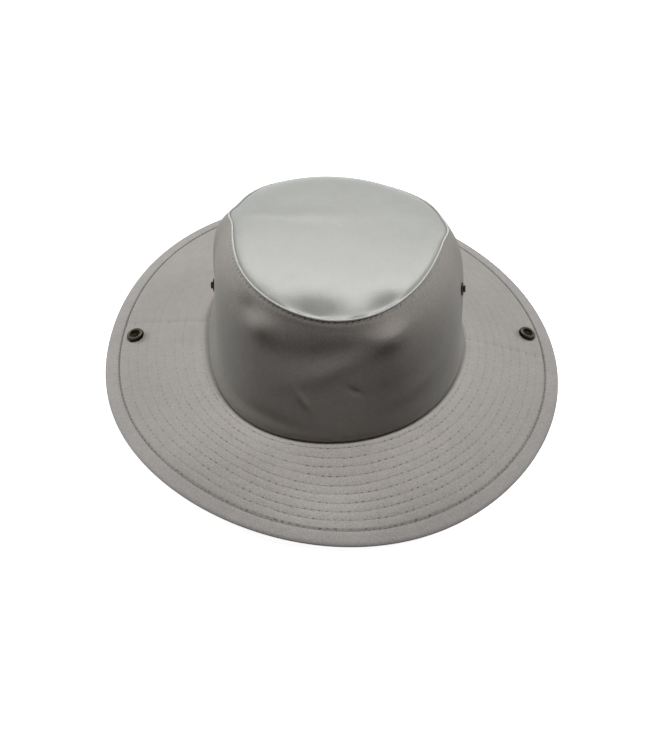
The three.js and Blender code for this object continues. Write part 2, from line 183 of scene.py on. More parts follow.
# %% Tip seam, tip and wall
TIP_CORNERS = ((171, 3.5, 7), (2, 2.2, 8))  # angle, how far it stands out, spread in degrees

# x, y, half width in x and y, depth
TIP_DENTS = (
    (-12, -80, 17, 13, 5.8),
    (31, -74, 10, 12, 5.4),
    (-46, -66, 7, 7, 1.2),
    (0, 60, 60, 22, -2.0),
)

# angle, share of the height, half length round, half height, lean in degrees, depth
WALL_FOLDS = (
    (231, 0.90, 8, 7, 0, 2.4),
    (239, 0.84, 10, 8, 0, -2.1),
    (264, 0.72, 30, 9, 12, 1.2),
    (271, 0.64, 26, 6, 29, -0.8),
    (292, 0.87, 12, 10, 10, -3.2),
    (293, 0.62, 18, 22, 0, -1.8),
    (260, 0.36, 8, 2.4, -52, -0.7),
    (279, 0.44, 5, 2, -35, 0.5),
    (305, 0.34, 28, 7, 12, -0.6),
    (243, 0.13, 30, 6, -8, 1.0),
)

# angle, share of the width, half length round in degrees, half width as a share, height
BRIM_WAVES = (
    (271, 0.44, 15, 0.30, -2.8),
    (236, 0.60, 15, 0.34, 3.4),
    (299, 0.64, 13, 0.30, 1.8),
    (304, 0.15, 14, 0.14, -1.0),
    (330, 0.50, 10, 0.30, -0.5),
    (205, 0.60, 10, 0.30, -0.5),
)

WAVE_RISE = 8  # how steeply the waves rise from the head seam
WAVE_FADE = 5  # how steeply they fade towards the rim


def brim_wave(turn, share):
    up = 0.0
    for angle, middle, half_round, half_share, height in BRIM_WAVES:
        across = bump((share - middle) / half_share)
        up = up + height * bump(away(turn, angle) / half_round) * across
    return up * np.clip(WAVE_RISE * share, 0, 1) * np.clip(WAVE_FADE * (1 - share), 0, 1)


def tip_radius(turn):
    radius = column("tip", turn)
    for angle, out, spread in TIP_CORNERS:
        radius = radius + out * bump(away(turn, angle) / spread)
    return radius


def wall_dent(turn, share, radius, height):
    deep = 0.0
    for angle, up, half_round, half_up, lean, depth in WALL_FOLDS:
        around = np.radians(away(turn, angle)) * radius
        above = (share - up) * height
        tilt = math.radians(lean)
        along = around * math.cos(tilt) + above * math.sin(tilt)
        across = above * math.cos(tilt) - around * math.sin(tilt)
        deep = deep + depth * bump(along / half_round) * bump(across / half_up)
    return deep


print(len(WALL_FOLDS), "folds,", len(TIP_DENTS), "dents and", len(BRIM_WAVES), "waves")

# %% Forms of the wall, the tip and the brim
FLARE_SHARE = 0.1  # the share of the wall's height over which its foot flares
SHOULDER_SHARE = 0.09  # the share of its height over which its top turns in
BELLY_AT_FOOT = 0.6  # how much of the wall's bulge lies low down
BELLY_RISE = 0.8  # and how much more of it lies high up
FOLD_FADE = 8  # how steeply folds fade at the wall's two seams
TIP_MIDDLE_UP = 108.5
TIP_FRONT = (1.5, 2, 20)  # how far the tip rolls over, and how late it falls and rolls, as powers
TIP_BACK = (4.0, 3, 8)
FRONT_TO_BACK = 3  # how sharply the tip changes from its front form to its back form
DENT_EDGE = 40  # how close to the seam the tip's dents reach, as a power


def wall_ends(turn):
    """Heights of the wall's foot and of its top."""
    foot = column("head_up", turn) + BRIM_CLOTH / 2 + WALL_LIFT
    return foot, column("tip_up", turn) - WELT / 2 - GAP


def wall_form(turn, share):
    """Radius and height of the middle of the wall's cloth; share 0 is its foot, 1 its top."""
    foot, top = wall_ends(turn)
    head = column("head", turn)
    straight = head + (tip_radius(turn) - head) * share
    rise = BELLY_AT_FOOT + BELLY_RISE * share
    belly = column("belly", turn) * 4 * share * (1 - share) * rise
    tuck = column("flare", turn) * (1 - np.exp(-share / FLARE_SHARE)) * (1 - share)
    shoulder = column("shoulder", turn) * (1 - np.exp((share - 1) / SHOULDER_SHARE)) * share
    edge = np.clip(FOLD_FADE * np.minimum(share, 1 - share), 0, 1)
    dent = edge * wall_dent(turn, share, straight, top - foot)
    return straight + belly + shoulder - tuck - dent, foot + (top - foot) * share


def tip_fall(turn, share, roll, slow, late):
    """How far the tip has fallen from its middle: a slow slope and a late roll to the edge."""
    slope = TIP_MIDDLE_UP - roll - column("tip_up", turn)
    return slope * share ** slow + roll * share ** late


def tip_form(turn, share):
    """Radius and height of the middle of the tip's cloth; share 0 is its centre, 1 its edge."""
    radius = (tip_radius(turn) - WELT / 2 - GAP) * share
    back = 0.5 + 0.5 * np.tanh(FRONT_TO_BACK * np.sin(turn))
    fall = back * tip_fall(turn, share, *TIP_BACK) + (1 - back) * tip_fall(turn, share, *TIP_FRONT)
    up = TIP_MIDDLE_UP - fall
    x = radius * np.cos(turn)
    y = radius * np.sin(turn)
    inside = 1 - share ** DENT_EDGE
    for dent_x, dent_y, half_x, half_y, depth in TIP_DENTS:
        up = up - depth * inside * bump((x - dent_x) / half_x) * bump((y - dent_y) / half_y)
    return radius, up


def brim_form(turn, share):
    """Radius and height of the middle of the brim; share 0 is the head seam, 1 the rim."""
    head = column("head", turn)
    head_up = column("head_up", turn)
    radius = head + (column("rim", turn) - head) * share
    up = head_up + (column("rim_up", turn) - head_up) * share
    return radius, up + BRIM_CAMBER * np.sin(np.pi * share) + brim_wave(turn, share)


def brim_width(turn):
    return column("rim", turn) - column("head", turn)


TIP_ROUND = ring_length(tip_radius(FULL_TURN), FULL_TURN)
print("the tip seam measures", round(TIP_ROUND), "mm round")

# %% [markdown]
# ## A mesh from a grid of points
#
# Every cloth piece is a thin closed skin: an upper layer, a lower layer and the edges between
# them. Its cross-section is one loop of points, and the loop is swept round the hat. Building
# it from arrays keeps each point on the form above, which a Solidify modifier wouldn't do at
# the stitched grooves. The same grid gives the UV map "sewing", which counts stitches round the
# hat and rows of stitches across it, so that painted shade can darken each needle hole where it
# is. Other things that a material has to know, such as where painted shade darkens the crease
# and where painted light makes the cloth paler, are numbers on the points.

# %% Grid to mesh
SMOOTH_ANGLE = math.radians(50)  # a sharper turn than this is a real edge
SAME_POINT = 1e-7  # points nearer to each other than this, in metres, are merged


def new_object(name, data):
    made = bpy.data.objects.new(name, data)
    bpy.context.scene.collection.objects.link(made)
    return made


def grid_mesh(name, points, sewing=None, ring=True, loop=True):
    """A mesh from points[round, across] in millimetres. ring closes it round the hat, and loop
    closes its cross-section. sewing is a UV map's two values at each point."""
    rounds, across = points.shape[:2]
    first, second = np.meshgrid(
        np.arange(rounds if ring else rounds - 1),
        np.arange(across if loop else across - 1),
        indexing="ij",
    )
    first = first.ravel()
    second = second.ravel()
    corner_i = np.stack([first, first, first + 1, first + 1], 1)
    corner_j = np.stack([second, second + 1, second + 1, second], 1)
    faces = (corner_i % rounds) * across + corner_j % across
    mesh = bpy.data.meshes.new(name)
    mesh.from_pydata((points.reshape(-1, 3) * MM).tolist(), [], faces.tolist())
    if sewing is not None:
        layer = mesh.uv_layers.new(name="sewing")
        corners = sewing[corner_i.ravel(), corner_j.ravel() % across]
        layer.uv.foreach_set("vector", corners.astype(np.float32).ravel())
    return mesh


# %% Cloth with two faces


def paint(mesh, name, values):
    """Gives each point of a mesh a number that its material can read."""
    layer = mesh.attributes.new(name, "FLOAT", "POINT")
    layer.data.foreach_set("value", np.asarray(values, np.float32).ravel())


def both_faces(upper, lower):
    """One loop across a cloth: along its upper face and back along its lower one."""
    return np.concatenate([upper, lower[:, ::-1]], 1)


def cloth_piece(name, top, under, sewing=None, painted=None, ring=True, loop=True):
    """A piece of cloth from the points of its two faces, each given as [round, across]. Its
    sewing map and painted numbers are given for the top, and the underside gets the same. The
    last line of a ring is its first again, which only the sewing map needs."""
    kept = slice(-1) if ring else slice(None)
    counts = None if sewing is None else both_faces(sewing, sewing)
    mesh = grid_mesh(name, both_faces(top, under)[kept], counts, ring, loop)
    for label, values in (painted or {}).items():
        paint(mesh, label, both_faces(values, values)[kept])
    return new_object(name, mesh)


# %% Finishing a mesh and a piece


def finish_mesh(mesh):
    """Merges points that fall together, as at a pole, closes what is open, turns the faces
    outwards, and shades it smooth up to its real edges."""
    work = bmesh.new()
    work.from_mesh(mesh)
    bmesh.ops.remove_doubles(work, verts=work.verts, dist=SAME_POINT)
    open_edges = [edge for edge in work.edges if edge.is_boundary]
    if open_edges:
        bmesh.ops.holes_fill(work, edges=open_edges)
    bmesh.ops.recalc_face_normals(work, faces=work.faces)
    work.to_mesh(mesh)
    left_open = sum(1 for edge in work.edges if not edge.is_manifold)
    work.free()
    mesh.shade_smooth()
    mesh.set_sharp_from_angle(angle=SMOOTH_ANGLE)
    return left_open


def finish_piece(piece, slot, *nodes):
    """Makes a piece ride with the hat, in the place of the CAD nodes that it stands for."""
    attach(piece, BODY)
    if nodes:
        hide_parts(*nodes)
    size = [round(side / MM, 1) for side in piece.dimensions]
    print(piece.name, "has", len(piece.data.polygons), "faces and measures", size, "mm")


# %% [markdown]
# ## Sums on node sockets
#
# Materials here are built from small formulas, such as where painted shade darkens the cloth at a
# needle hole.
# Wiring Math nodes by hand hides the formula, so a small class wraps a socket and lets Python's
# own + and * add the nodes. One method adds every other kind of node. A second class knows what
# all the finishes share: coordinates in millimetres, dyeing a colour, bumps and the shader.

# %% Wires


class Wire:
    """An output socket that can be used in Python sums."""

    def __init__(self, tree, socket):
        self.tree = tree
        self.socket = socket

    def sum(self, operation, *values):
        """One Math node on the given values, or on this wire where none are given."""
        numbers = dict(enumerate(values or (self,)))
        return self.tree.node("ShaderNodeMath", {"operation": operation}, numbers)

    def __add__(self, other):
        return self.sum("ADD", self, other)

    def __radd__(self, other):
        return self.sum("ADD", other, self)

    def __sub__(self, other):
        return self.sum("SUBTRACT", self, other)

    def __rsub__(self, other):
        return self.sum("SUBTRACT", other, self)

    def __mul__(self, other):
        return self.sum("MULTIPLY", self, other)

    def __rmul__(self, other):
        return self.sum("MULTIPLY", other, self)

    def __truediv__(self, other):
        return self.sum("DIVIDE", self, other)

    def part(self, name):
        """X, Y or Z of a vector."""
        split = self.tree.node("ShaderNodeSeparateXYZ", {}, {0: self})
        return Wire(self.tree, split.socket.node.outputs[name])


# %% Trees


class Tree:
    """A node tree that nodes are added to with one call each."""

    def __init__(self, tree):
        self.tree = tree

    def node(self, kind, settings=None, values=None, out=0):
        made = self.tree.nodes.new(kind)
        for name, value in (settings or {}).items():
            setattr(made, name, value)
        self.plug(made, values or {})
        return Wire(self, made.outputs[out])

    def plug(self, node, values):
        """Links wires to a node's sockets and sets plain values on them."""
        for name, value in values.items():
            if isinstance(value, Wire):
                self.tree.links.new(value.socket, node.inputs[name])
            else:
                node.inputs[name].default_value = value

    def vector(self, **parts):
        return self.node("ShaderNodeCombineXYZ", {}, parts)

    def wave(self, value):
        """A sine from 0 to 1 that repeats each time the value grows by 1."""
        return 0.5 + 0.5 * (value * math.tau).sum("SINE")

    def ramp(self, value, low, high, start=0.0, end=1.0):
        """A smooth step from start to end as the value goes from low to high."""
        settings = {"interpolation_type": "SMOOTHSTEP"}
        values = {"Value": value, "From Min": low, "From Max": high, "To Min": start, "To Max": end}
        return self.node("ShaderNodeMapRange", settings, values)

    def scaled(self, vector, scale):
        return self.node("ShaderNodeVectorMath", {"operation": "MULTIPLY"}, {0: vector, 1: scale})

    def noise(self, vector, scale, detail=2.0, roughness=0.5):
        values = {"Vector": vector, "Scale": scale, "Detail": detail, "Roughness": roughness}
        return self.node("ShaderNodeTexNoise", {}, values)

    def mixed(self, share, one, other, blend="MIX"):
        settings = {"data_type": "RGBA", "blend_type": blend}
        return self.node("ShaderNodeMix", settings, {0: share, 6: one, 7: other}, out=2)


# %% Finishes


class Finish(Tree):
    """The tree of a new material, whose Principled shader is given values by their names."""

    def __init__(self, name):
        self.material = bpy.data.materials.new(name)
        self.material.use_nodes = True
        super().__init__(self.material.node_tree)

    def metres(self):
        """Object coordinates, which are in metres."""
        return self.node("ShaderNodeTexCoord", out=3)

    def millimetres(self):
        """Object coordinates in millimetres."""
        return self.scaled(self.metres(), (1 / MM, 1 / MM, 1 / MM))

    def painted(self, name):
        """A number that was painted on the points of the mesh."""
        return self.node("ShaderNodeAttribute", {"attribute_name": name}, out=2)

    def grey(self, shade):
        return self.node("ShaderNodeCombineColor", {}, {0: shade, 1: shade, 2: shade})

    def dyed(self, colour, shade):
        return self.mixed(1.0, (*colour, 1.0), self.grey(shade), "MULTIPLY")

    def relief(self, height, strength=1.0):
        """Bumps whose height is in millimetres."""
        values = {"Height": height, "Distance": MM, "Strength": strength}
        return self.node("ShaderNodeBump", {}, values)

    def give(self, values):
        """Feeds the shader, and returns the finished material."""
        self.plug(self.tree.nodes["Principled BSDF"], values)
        print(self.material.name, "is made of", len(self.tree.nodes), "nodes")
        return self.material


# %% [markdown]
# ## Cotton drill
#
# Drill is a twill: fine slanted ribs, with thick and thin yarns that show as faint streaks.
# The cloth here is washed and slightly mottled. The ribs are a sine across the yarns, the
# streaks are noise that is stretched along them, and both go into the bump as well as the
# colour. An image of cloth would be quicker, but a formula stays sharp at any distance and
# needs no file. Where the grain of a piece runs straight across the hat it reads Object
# coordinates. Where the piece is bent round the hat it reads the sewing map.
#
# Painted light and painted shade are in the colour too. Painted light makes the cloth paler where
# the quilting is tight, towards the top of the wall and in a few spots under the tip seam. Painted
# shade darkens the crease along the head seam, the needle holes and the lines of the rows. The
# cloth is also grainier where the quilting pulls it tight.

# %% Needle holes
BRIM_STITCH = 4.15  # pitch of the quilting, from needle hole to needle hole
SEAM_STITCH = 3.1  # pitch of the stitches along the tip seam and the edge band
HOLE_EDGE = (1.0, 0.3)  # where a hole fades in, as shares of its size
FAINTEST_HOLE = 0.15
LINE_EDGE = (0.9, 0.1)  # where the painted shade along a row fades in, in millimetres


def needle_holes(tree, across_mm, pitch, long, wide, slant=0.0):
    """Masks for painted shade: one that is 1 at each needle hole of the rows that the sewing map
    counts, and a second one that is 1 along each row. The rows are across_mm apart and the holes
    pitch apart, long and wide are a hole's half sizes, and slant leans it over."""
    sewing = tree.node("ShaderNodeUVMap", {"uv_map": "sewing"})
    along = sewing.part("X") + 0.5
    row = sewing.part("Y") + 0.5
    off_along = (along.sum("FRACT") - 0.5) * pitch
    off_across = (row.sum("FRACT") - 0.5) * across_mm
    in_along = (off_along + slant * off_across) / long
    in_across = off_across / wide
    distance = (in_along * in_along + in_across * in_across).sum("SQRT")
    cell = tree.vector(X=along.sum("FLOOR"), Y=row.sum("FLOOR"))
    chance = tree.node("ShaderNodeTexWhiteNoise", {"noise_dimensions": "2D"}, {"Vector": cell})
    faint = tree.ramp(chance, 0.0, 1.0, FAINTEST_HOLE, 1.0)
    hole = tree.ramp(distance, *HOLE_EDGE) * faint
    line = tree.ramp(off_across.sum("ABSOLUTE"), *LINE_EDGE)
    return hole, line


print("holes lie", BRIM_STITCH, "mm apart on the brim and", SEAM_STITCH, "mm on the seams")

# %% Yarns and spots
YARN = 0.55  # from rib to rib of the twill, in millimetres
RIB_SLANT = 0.6
YARN_WIDE = 0.5
WARP_LONG = 16  # how long a thick place in a warp yarn is
WEFT_LONG = 12
MOTTLE_SIZE = 7
PATCH_SIZE = 45
GRAIN_SIZE = 0.9
print("ribs of the twill in 10 mm:", round(10 / YARN))

# %% Tints and heights of the cloth's patterns
# how strongly each pattern tints the cloth
WARP_TINT = 0.14
WEFT_TINT = 0.10
MOTTLE_TINT = 0.16
PATCH_TINT = 0.16
RIB_TINT = 0.04
GRAIN_TINT = 0.28
TIGHT_GRAIN_TINT = 0.90  # more grain where the quilting is tight
# painted light and painted shade: how much paler the painted light makes the cloth, and how much
# darker the painted shade makes the crease and the needle holes
PAINTED_LIGHT_PALER = 0.21
CREASE_SHADE_DARKER = 0.7
HOLE_SHADE_DARKER = 0.62

# how high each pattern stands, in millimetres
RIB_HIGH = 0.03
WARP_HIGH = 0.04
WEFT_HIGH = 0.03
GRAIN_HIGH = 0.06
HOLE_DEEP = 0.10

RELIEF_STRENGTH = 0.8
SHEEN_ROUGHNESS = 0.4
SMOOTHER = 0.06  # how far the roughness varies each way with the mottle
ROUGHER = 0.04

# %% Cloth material


def cloth_material(name, colour, straight=True, rows=None, line=0.05, roughness=0.9, sheen=0.1,
                   gloss=0.2):
    """Cotton drill, with painted light and painted shade in its colour. rows is what needle_holes
    takes after the tree, and line is how dark the painted shade along a tight row of stitches is."""
    tree = Finish(name)
    body = tree.millimetres()
    thread = body
    if not straight:
        sewing = tree.node("ShaderNodeUVMap", {"uv_map": "sewing"})
        thread = tree.scaled(sewing, (SEAM_STITCH, 1, 1))
    rib = tree.wave((thread.part("X") + RIB_SLANT * thread.part("Y")) / YARN)
    warp = tree.noise(tree.scaled(thread, (1 / WARP_LONG, 1 / YARN_WIDE, 0)), 1.0)
    weft = tree.noise(tree.scaled(thread, (1 / YARN_WIDE, 1 / WEFT_LONG, 0)), 1.0)
    mottle = tree.noise(body, 1 / MOTTLE_SIZE, detail=3.0)
    patches = tree.noise(body, 1 / PATCH_SIZE)
    grain = tree.noise(body, 1 / GRAIN_SIZE, detail=3.0, roughness=0.6)
    tight = tree.painted("tight")
    shade = 1 + WARP_TINT * (warp - 0.5) + WEFT_TINT * (weft - 0.5)
    shade = shade + MOTTLE_TINT * (mottle - 0.5) + PATCH_TINT * (patches - 0.5)
    shade = shade + RIB_TINT * (rib - 0.5)
    shade = shade + (GRAIN_TINT + TIGHT_GRAIN_TINT * tight) * (grain - 0.5)
    # painted light makes the cloth paler, and painted shade darkens the crease along the head seam
    shade = shade + PAINTED_LIGHT_PALER * tree.painted("painted_light")
    shade = shade * (1 - CREASE_SHADE_DARKER * tree.painted("painted_crease_shade"))
    height = RIB_HIGH * rib + WARP_HIGH * warp + WEFT_HIGH * weft + GRAIN_HIGH * tight * grain
    if rows:
        hole, along_row = needle_holes(tree, *rows)
        # painted shade in the needle holes and along the rows of stitches
        shade = shade * (1 - HOLE_SHADE_DARKER * tight * hole) * (1 - line * tight * along_row)
        height = height - HOLE_DEEP * tight * hole
    return tree.give({
        "Base Color": tree.dyed(colour, shade),
        "Roughness": tree.ramp(mottle, 0.2, 0.8, roughness - SMOOTHER, roughness + ROUGHER),
        "Normal": tree.relief(height, RELIEF_STRENGTH),
        "Sheen Weight": sheen,
        "Sheen Roughness": SHEEN_ROUGHNESS,
        "Specular IOR Level": gloss,
    })


# %% [markdown]
# ## The brim
#
# Two half rings of doubled drill meet at the side seams. Rings of stitches run right round and
# hold the plies together. Each pulls a shallow groove with a deeper pit at every needle hole,
# and the cloth between the rings puffs up. All this is real geometry, because it breaks up the
# light across the whole brim, and a bump map alone would look flat from the side. A Displace
# modifier could press a pattern in, but it can't count the stitches of a ring. Nobody steers a
# ring of quilting quite evenly, so each one strays a little and some stitches pull harder.

# %% Rows and pits
QUILT_ROWS = 9
FIRST_ROW = 4.0  # from the head seam
LAST_ROW = 15.6  # from the rim
BRIM_SEAMS = (0.0, 174.0)  # where the halves meet, in degrees
GROOVE_DEEP = 0.06
GROOVE_HALF = 0.6  # half its width
PIT_DEEP = 0.40
PIT_HALF = 0.8
PIT_LONG = 1.2
PIT_EVEN = 0.6  # the depth that every pit has, as a share, and what chance adds or takes
PIT_CHANCE = 0.4
CHANCE_STEPS = (12.99, 78.2)  # any numbers that mix the stitch and the row well
PUFF = 0.08
ROW_WANDER = 0.4  # how far a row strays from its even place
# share of the straying, waves round the hat, and shift from row to row
WANDER_WAVES = ((0.5, 5, 2.4), (0.35, 19, 4.1), (0.2, 43, 1.7))

# how tightly the quilting pulls, from 0 to 1, at the angle of each section
TIGHTNESS = np.array([0.36, 0.18, 0.16, 0.34, 0.20, 0.08, 0.22, 0.45, 0.85, 1.00, 0.88, 0.58])


def tightness(turn):
    angles = np.append(SECTIONS[:, 0], 360)
    return np.interp(np.degrees(turn) % 360, angles, np.append(TIGHTNESS, TIGHTNESS[0]))


# %% Rings of stitches


def row_gap(turn):
    return (brim_width(turn) - FIRST_ROW - LAST_ROW) / (QUILT_ROWS - 1)


def wander(turn, row):
    """How far a row strays outwards, because a ring of quilting is steered by hand."""
    waves = (share * np.sin(count * turn + shift * row) for share, count, shift in WANDER_WAVES)
    return ROW_WANDER * sum(waves)


def row_share(turn, row):
    """Where a row of stitches lies, as a share of the brim's width."""
    return (FIRST_ROW + row * row_gap(turn) + wander(turn, row)) / brim_width(turn)


def row_stitches(row):
    """How many stitches a ring of the quilting has."""
    radius, _ = brim_form(FULL_TURN, row_share(FULL_TURN, row))
    return round(ring_length(radius, FULL_TURN) / BRIM_STITCH)


ROW_STITCHES = np.array([row_stitches(row) for row in range(QUILT_ROWS)])
print("stitches in each ring of the brim:", ROW_STITCHES.tolist())

# %% Pull of the stitches


def count_stitches(turn, count, pitch):
    """How many stitches lie before an angle, and how far off the nearest one it is, in mm."""
    stitch = turn / math.tau * count
    return stitch, (stitch - np.round(stitch)) * pitch


def quilting(turn, share):
    """How deep the thread pulls the cloth in, and the sewing map's two counts."""
    row = (share * brim_width(turn) - FIRST_ROW) / row_gap(turn)
    nearest = np.clip(np.round(row), 0, QUILT_ROWS - 1).astype(int)
    row = row - wander(turn, nearest) / row_gap(turn)
    stitch, along = count_stitches(turn, ROW_STITCHES[nearest], BRIM_STITCH)
    across = (row - nearest) * row_gap(turn)
    groove = GROOVE_DEEP * bump(across / GROOVE_HALF)
    mixed = CHANCE_STEPS[0] * np.round(stitch) + CHANCE_STEPS[1] * nearest
    firmness = PIT_EVEN + PIT_CHANCE * np.sin(mixed)
    pit = PIT_DEEP * firmness * bump(across / PIT_HALF) * bump(along / PIT_LONG)
    puff = PUFF * np.sin(np.pi * np.clip(across / row_gap(turn), -0.5, 0.5)) ** 2
    pull = tightness(turn) * (groove + pit - puff)
    return pull, np.stack([stitch, row], -1)


# %% Brim halves
SEAM_ROLL = 1.0  # how far from a side seam the cloth turns down, in degrees
SEAM_DROP = 0.45
SEAM_VALLEY = 1.0  # how far the brim's top dips where the wall stands on it
VALLEY_HALF = 1.6
EDGE_DIP = 1.2  # how far its top dips where it goes into the edge band
DIP_HALF = 0.8
BAND_TUCK = 0.6  # how far it goes into the band
CREASE_WIDE = 0.9  # how far from the head seam the painted shade in the crease reaches
SHADE_SLACK = 0.3  # how much of the painted shade lies where the quilting is slack, as a share
PAINTED_LIGHT_AT_SEAM = 1.5  # how much painted light the tight quilting gets at the head seam, and one less at the rim
BRIM_STEPS_ROUND = 500
BRIM_STEPS_ACROSS = 72


def crease_shade(turn, from_seam):
    """How much painted shade darkens the crease along the head seam."""
    return (SHADE_SLACK + (1 - SHADE_SLACK) * tightness(turn)) * bump(from_seam / CREASE_WIDE)


def brim_half(name, start, end):
    angles = np.linspace(start, end, BRIM_STEPS_ROUND)
    turn = np.radians(angles)[:, None]
    width = brim_width(turn)
    inner = -SEAM_TURN / width
    outer = 1 - (EDGE_BAND_WIDTH - BAND_TUCK) / width
    share = inner + (outer - inner) * np.linspace(0, 1, BRIM_STEPS_ACROSS)[None, :]
    turn = np.broadcast_to(turn, share.shape)
    radius, up = brim_form(turn, share)
    pull, sewing = quilting(turn, share)
    from_seam = np.minimum(angles - start, end - angles)[:, None]
    drop = SEAM_DROP * bump(from_seam / SEAM_ROLL)
    from_head = share * width
    dip = SEAM_VALLEY * bump(from_head / VALLEY_HALF)
    dip = dip + EDGE_DIP * bump((outer - share) * width / DIP_HALF)
    top = place(turn, radius, up + BRIM_CLOTH / 2 - pull - drop - dip)
    under = place(turn, radius, up - BRIM_CLOTH / 2 + pull + drop)
    tight = tightness(turn)
    # painted light makes the tight quilting paler, most near the head seam, and painted shade
    # darkens the crease along that seam
    painted = {
        "tight": tight,
        "painted_light": tight * (PAINTED_LIGHT_AT_SEAM - share),
        "painted_crease_shade": crease_shade(turn, from_head),
    }
    return cloth_piece(name, top, under, sewing, painted, ring=False)


BRIM_COLOUR = (0.386, 0.360, 0.340)
ROW_GAP_MIDDLE = float(row_gap(np.array(1.5 * np.pi)))
BRIM_HOLES = (ROW_GAP_MIDDLE, BRIM_STITCH, 1.4, 0.6)
brim_cloth = cloth_material("brim_cotton", BRIM_COLOUR, rows=BRIM_HOLES)
brim_back = brim_half("brim_back_cloth", BRIM_SEAMS[0], BRIM_SEAMS[1])
brim_front = brim_half("brim_front_cloth", BRIM_SEAMS[1], BRIM_SEAMS[0] + 360)

# %% [markdown]
# ## The edge band
#
# A strip of cloth is turned over the rim and stitched down on both sides. Its fold is round,
# and it stands a little above the brim. A curve with a bevel could make such a strip, but its
# stitches have to lie on the brim's waves. So its section is a short list of points, swept
# round the same form as the brim, and a row of stitches pulls it in near its inner edge.

# %% Band along the rim
BAND_STEPS = 900
BAND_ROW = 0.5  # from the band's inner edge to its stitches
BAND_PULL = 0.25  # how deep the stitches pull it in
BAND_PIT_HALF = 0.8
BAND_TIGHT = 0.6  # how tight it is sewn where the quilting is slack
ONE_ROW = 100.0  # the gap between rows for a piece that has only one, so that no other shows
# from the rim inwards, and half the thickness there
BAND_PROFILE = (
    (9.5, 0.30), (9.47, 0.70), (9.3, 1.05), (9.0, 1.22), (8.7, 1.25), (8.4, 1.25), (8.1, 1.26),
    (7.8, 1.28), (7.4, 1.32), (7.0, 1.36), (6.2, 1.38), (5.0, 1.34), (3.8, 1.30), (2.6, 1.28),
    (1.8, 1.22), (1.2, 1.08), (0.7, 0.88), (0.35, 0.64), (0.1, 0.34), (0.0, 0.08),
)


def band_stitches():
    radius, _ = brim_form(FULL_TURN, 1 - (EDGE_BAND_WIDTH - BAND_ROW) / brim_width(FULL_TURN))
    return round(ring_length(radius, FULL_TURN) / SEAM_STITCH)


def edge_band(name):
    turn = np.linspace(0, math.tau, BAND_STEPS + 1)[:, None]
    inwards, half = np.array(BAND_PROFILE).T
    share = 1 - inwards[None, :] / brim_width(turn)
    turn = np.broadcast_to(turn, share.shape)
    radius, up = brim_form(turn, share)
    stitch, along = count_stitches(turn, band_stitches(), SEAM_STITCH)
    from_row = EDGE_BAND_WIDTH - inwards[None, :] - BAND_ROW
    pit = 0.5 + 0.5 * bump(along / BAND_PIT_HALF)
    pull = BAND_PULL * bump(from_row / BAND_PIT_HALF) * pit
    top = place(turn, radius, up + half - pull)
    under = place(turn, radius, np.maximum(up - half + pull, 0))
    sewing = np.stack([stitch, np.broadcast_to(from_row / ONE_ROW, stitch.shape)], -1)
    tight = BAND_TIGHT + (1 - BAND_TIGHT) * tightness(turn)
    # painted light makes the band paler where it is sewn tight
    return cloth_piece(name, top, under, sewing, {"tight": tight, "painted_light": tight})


BAND_COLOUR = (0.355, 0.332, 0.318)
BAND_HOLES = (ONE_ROW, SEAM_STITCH, 1.3, 0.6)
# line=0.5 paints a dark line of shade along the band's row of stitches
band_cloth = cloth_material("edge_cotton", BAND_COLOUR, straight=False, rows=BAND_HOLES, line=0.5)
band = edge_band("brim_edge_cloth")
print("stitches along the edge band:", band_stitches())

# %% [markdown]
# ## The crown's wall
#
# The wall is one strip of drill that leans in towards the tip. Just under the tip seam, a row
# of stitches holds the seam's turned cloth and puckers the wall a little at every stitch. Its
# foot turns in and goes down into the valley along the head seam. The grid is finer near both
# seams than between them, where the cloth is smooth. A bump map would do for the puckers from
# afar, but the outline of the crown shows them, so they are in the mesh.

# %% Sizes of the wall
WALL_STEPS = 540
WALL_FINE = 0.93  # the share of the height above which the grid is fine
WALL_LOW = 0.04  # and below which it is
WALL_LINES = (14, 58, 7)  # lines of points in the top, the middle and the foot
WALL_ROW = 0.3  # from the foot of the welt's cord to the stitches
PUCKER_REACH = 4.5
PUCKER_DEEP = 0.28
STITCH_PIT = 1.3  # depth of the pits at the stitches, as a share of the pucker
STITCH_PIT_HALF = 0.8
STITCH_PIT_LONG = 0.7
ROW_LINE = 0.15  # how much of that depth the row keeps between two stitches
RIPPLE = 0.35  # height of the ripples below the row, as a share of the pucker
SEAM_SWELL = 0.12  # how far the wall swells out just below the seam
SWELL_BELOW = 2.6
SWELL_HALF = 1.8
SEAM_REACH = 0.9  # how far the wall's top goes up beside the welt
FOOT_REACH = 1.3  # how far the wall's foot goes down into the brim's valley
REACH_SHARE = 0.03  # over what share of the height
FOOT_TUCK = 1.0  # how far the wall turns in where it meets the brim
FOOT_TUCK_HALF = 2.4
WALL_HIGH = 85.0  # the wall's height, near enough for placing the worn spots
TIP_STITCHES = round(TIP_ROUND / SEAM_STITCH)
print("stitches along the tip seam:", TIP_STITCHES)

# %% Spots of painted light
# angle, share of the height, half length round and half height, how much paler the painted light
# makes it
PAINTED_LIGHT_SPOTS = (
    (292, 0.91, 9, 6, 1.5),
    (241, 0.88, 8, 6, 0.7),
    (267, 0.97, 20, 3.5, 0.6),
)


def painted_light_spots(turn, share):
    """How much paler painted light makes the wall's cloth in a few spots just under the tip seam.
    """
    wear_and_light = 0.0
    for angle, up, half_round, half_up, strength in PAINTED_LIGHT_SPOTS:
        around = np.radians(away(turn, angle)) * tip_radius(turn)
        above = (share - up) * WALL_HIGH
        wear_and_light = wear_and_light + strength * bump(around / half_round) * bump(above / half_up)
    return wear_and_light


# %% Wall piece


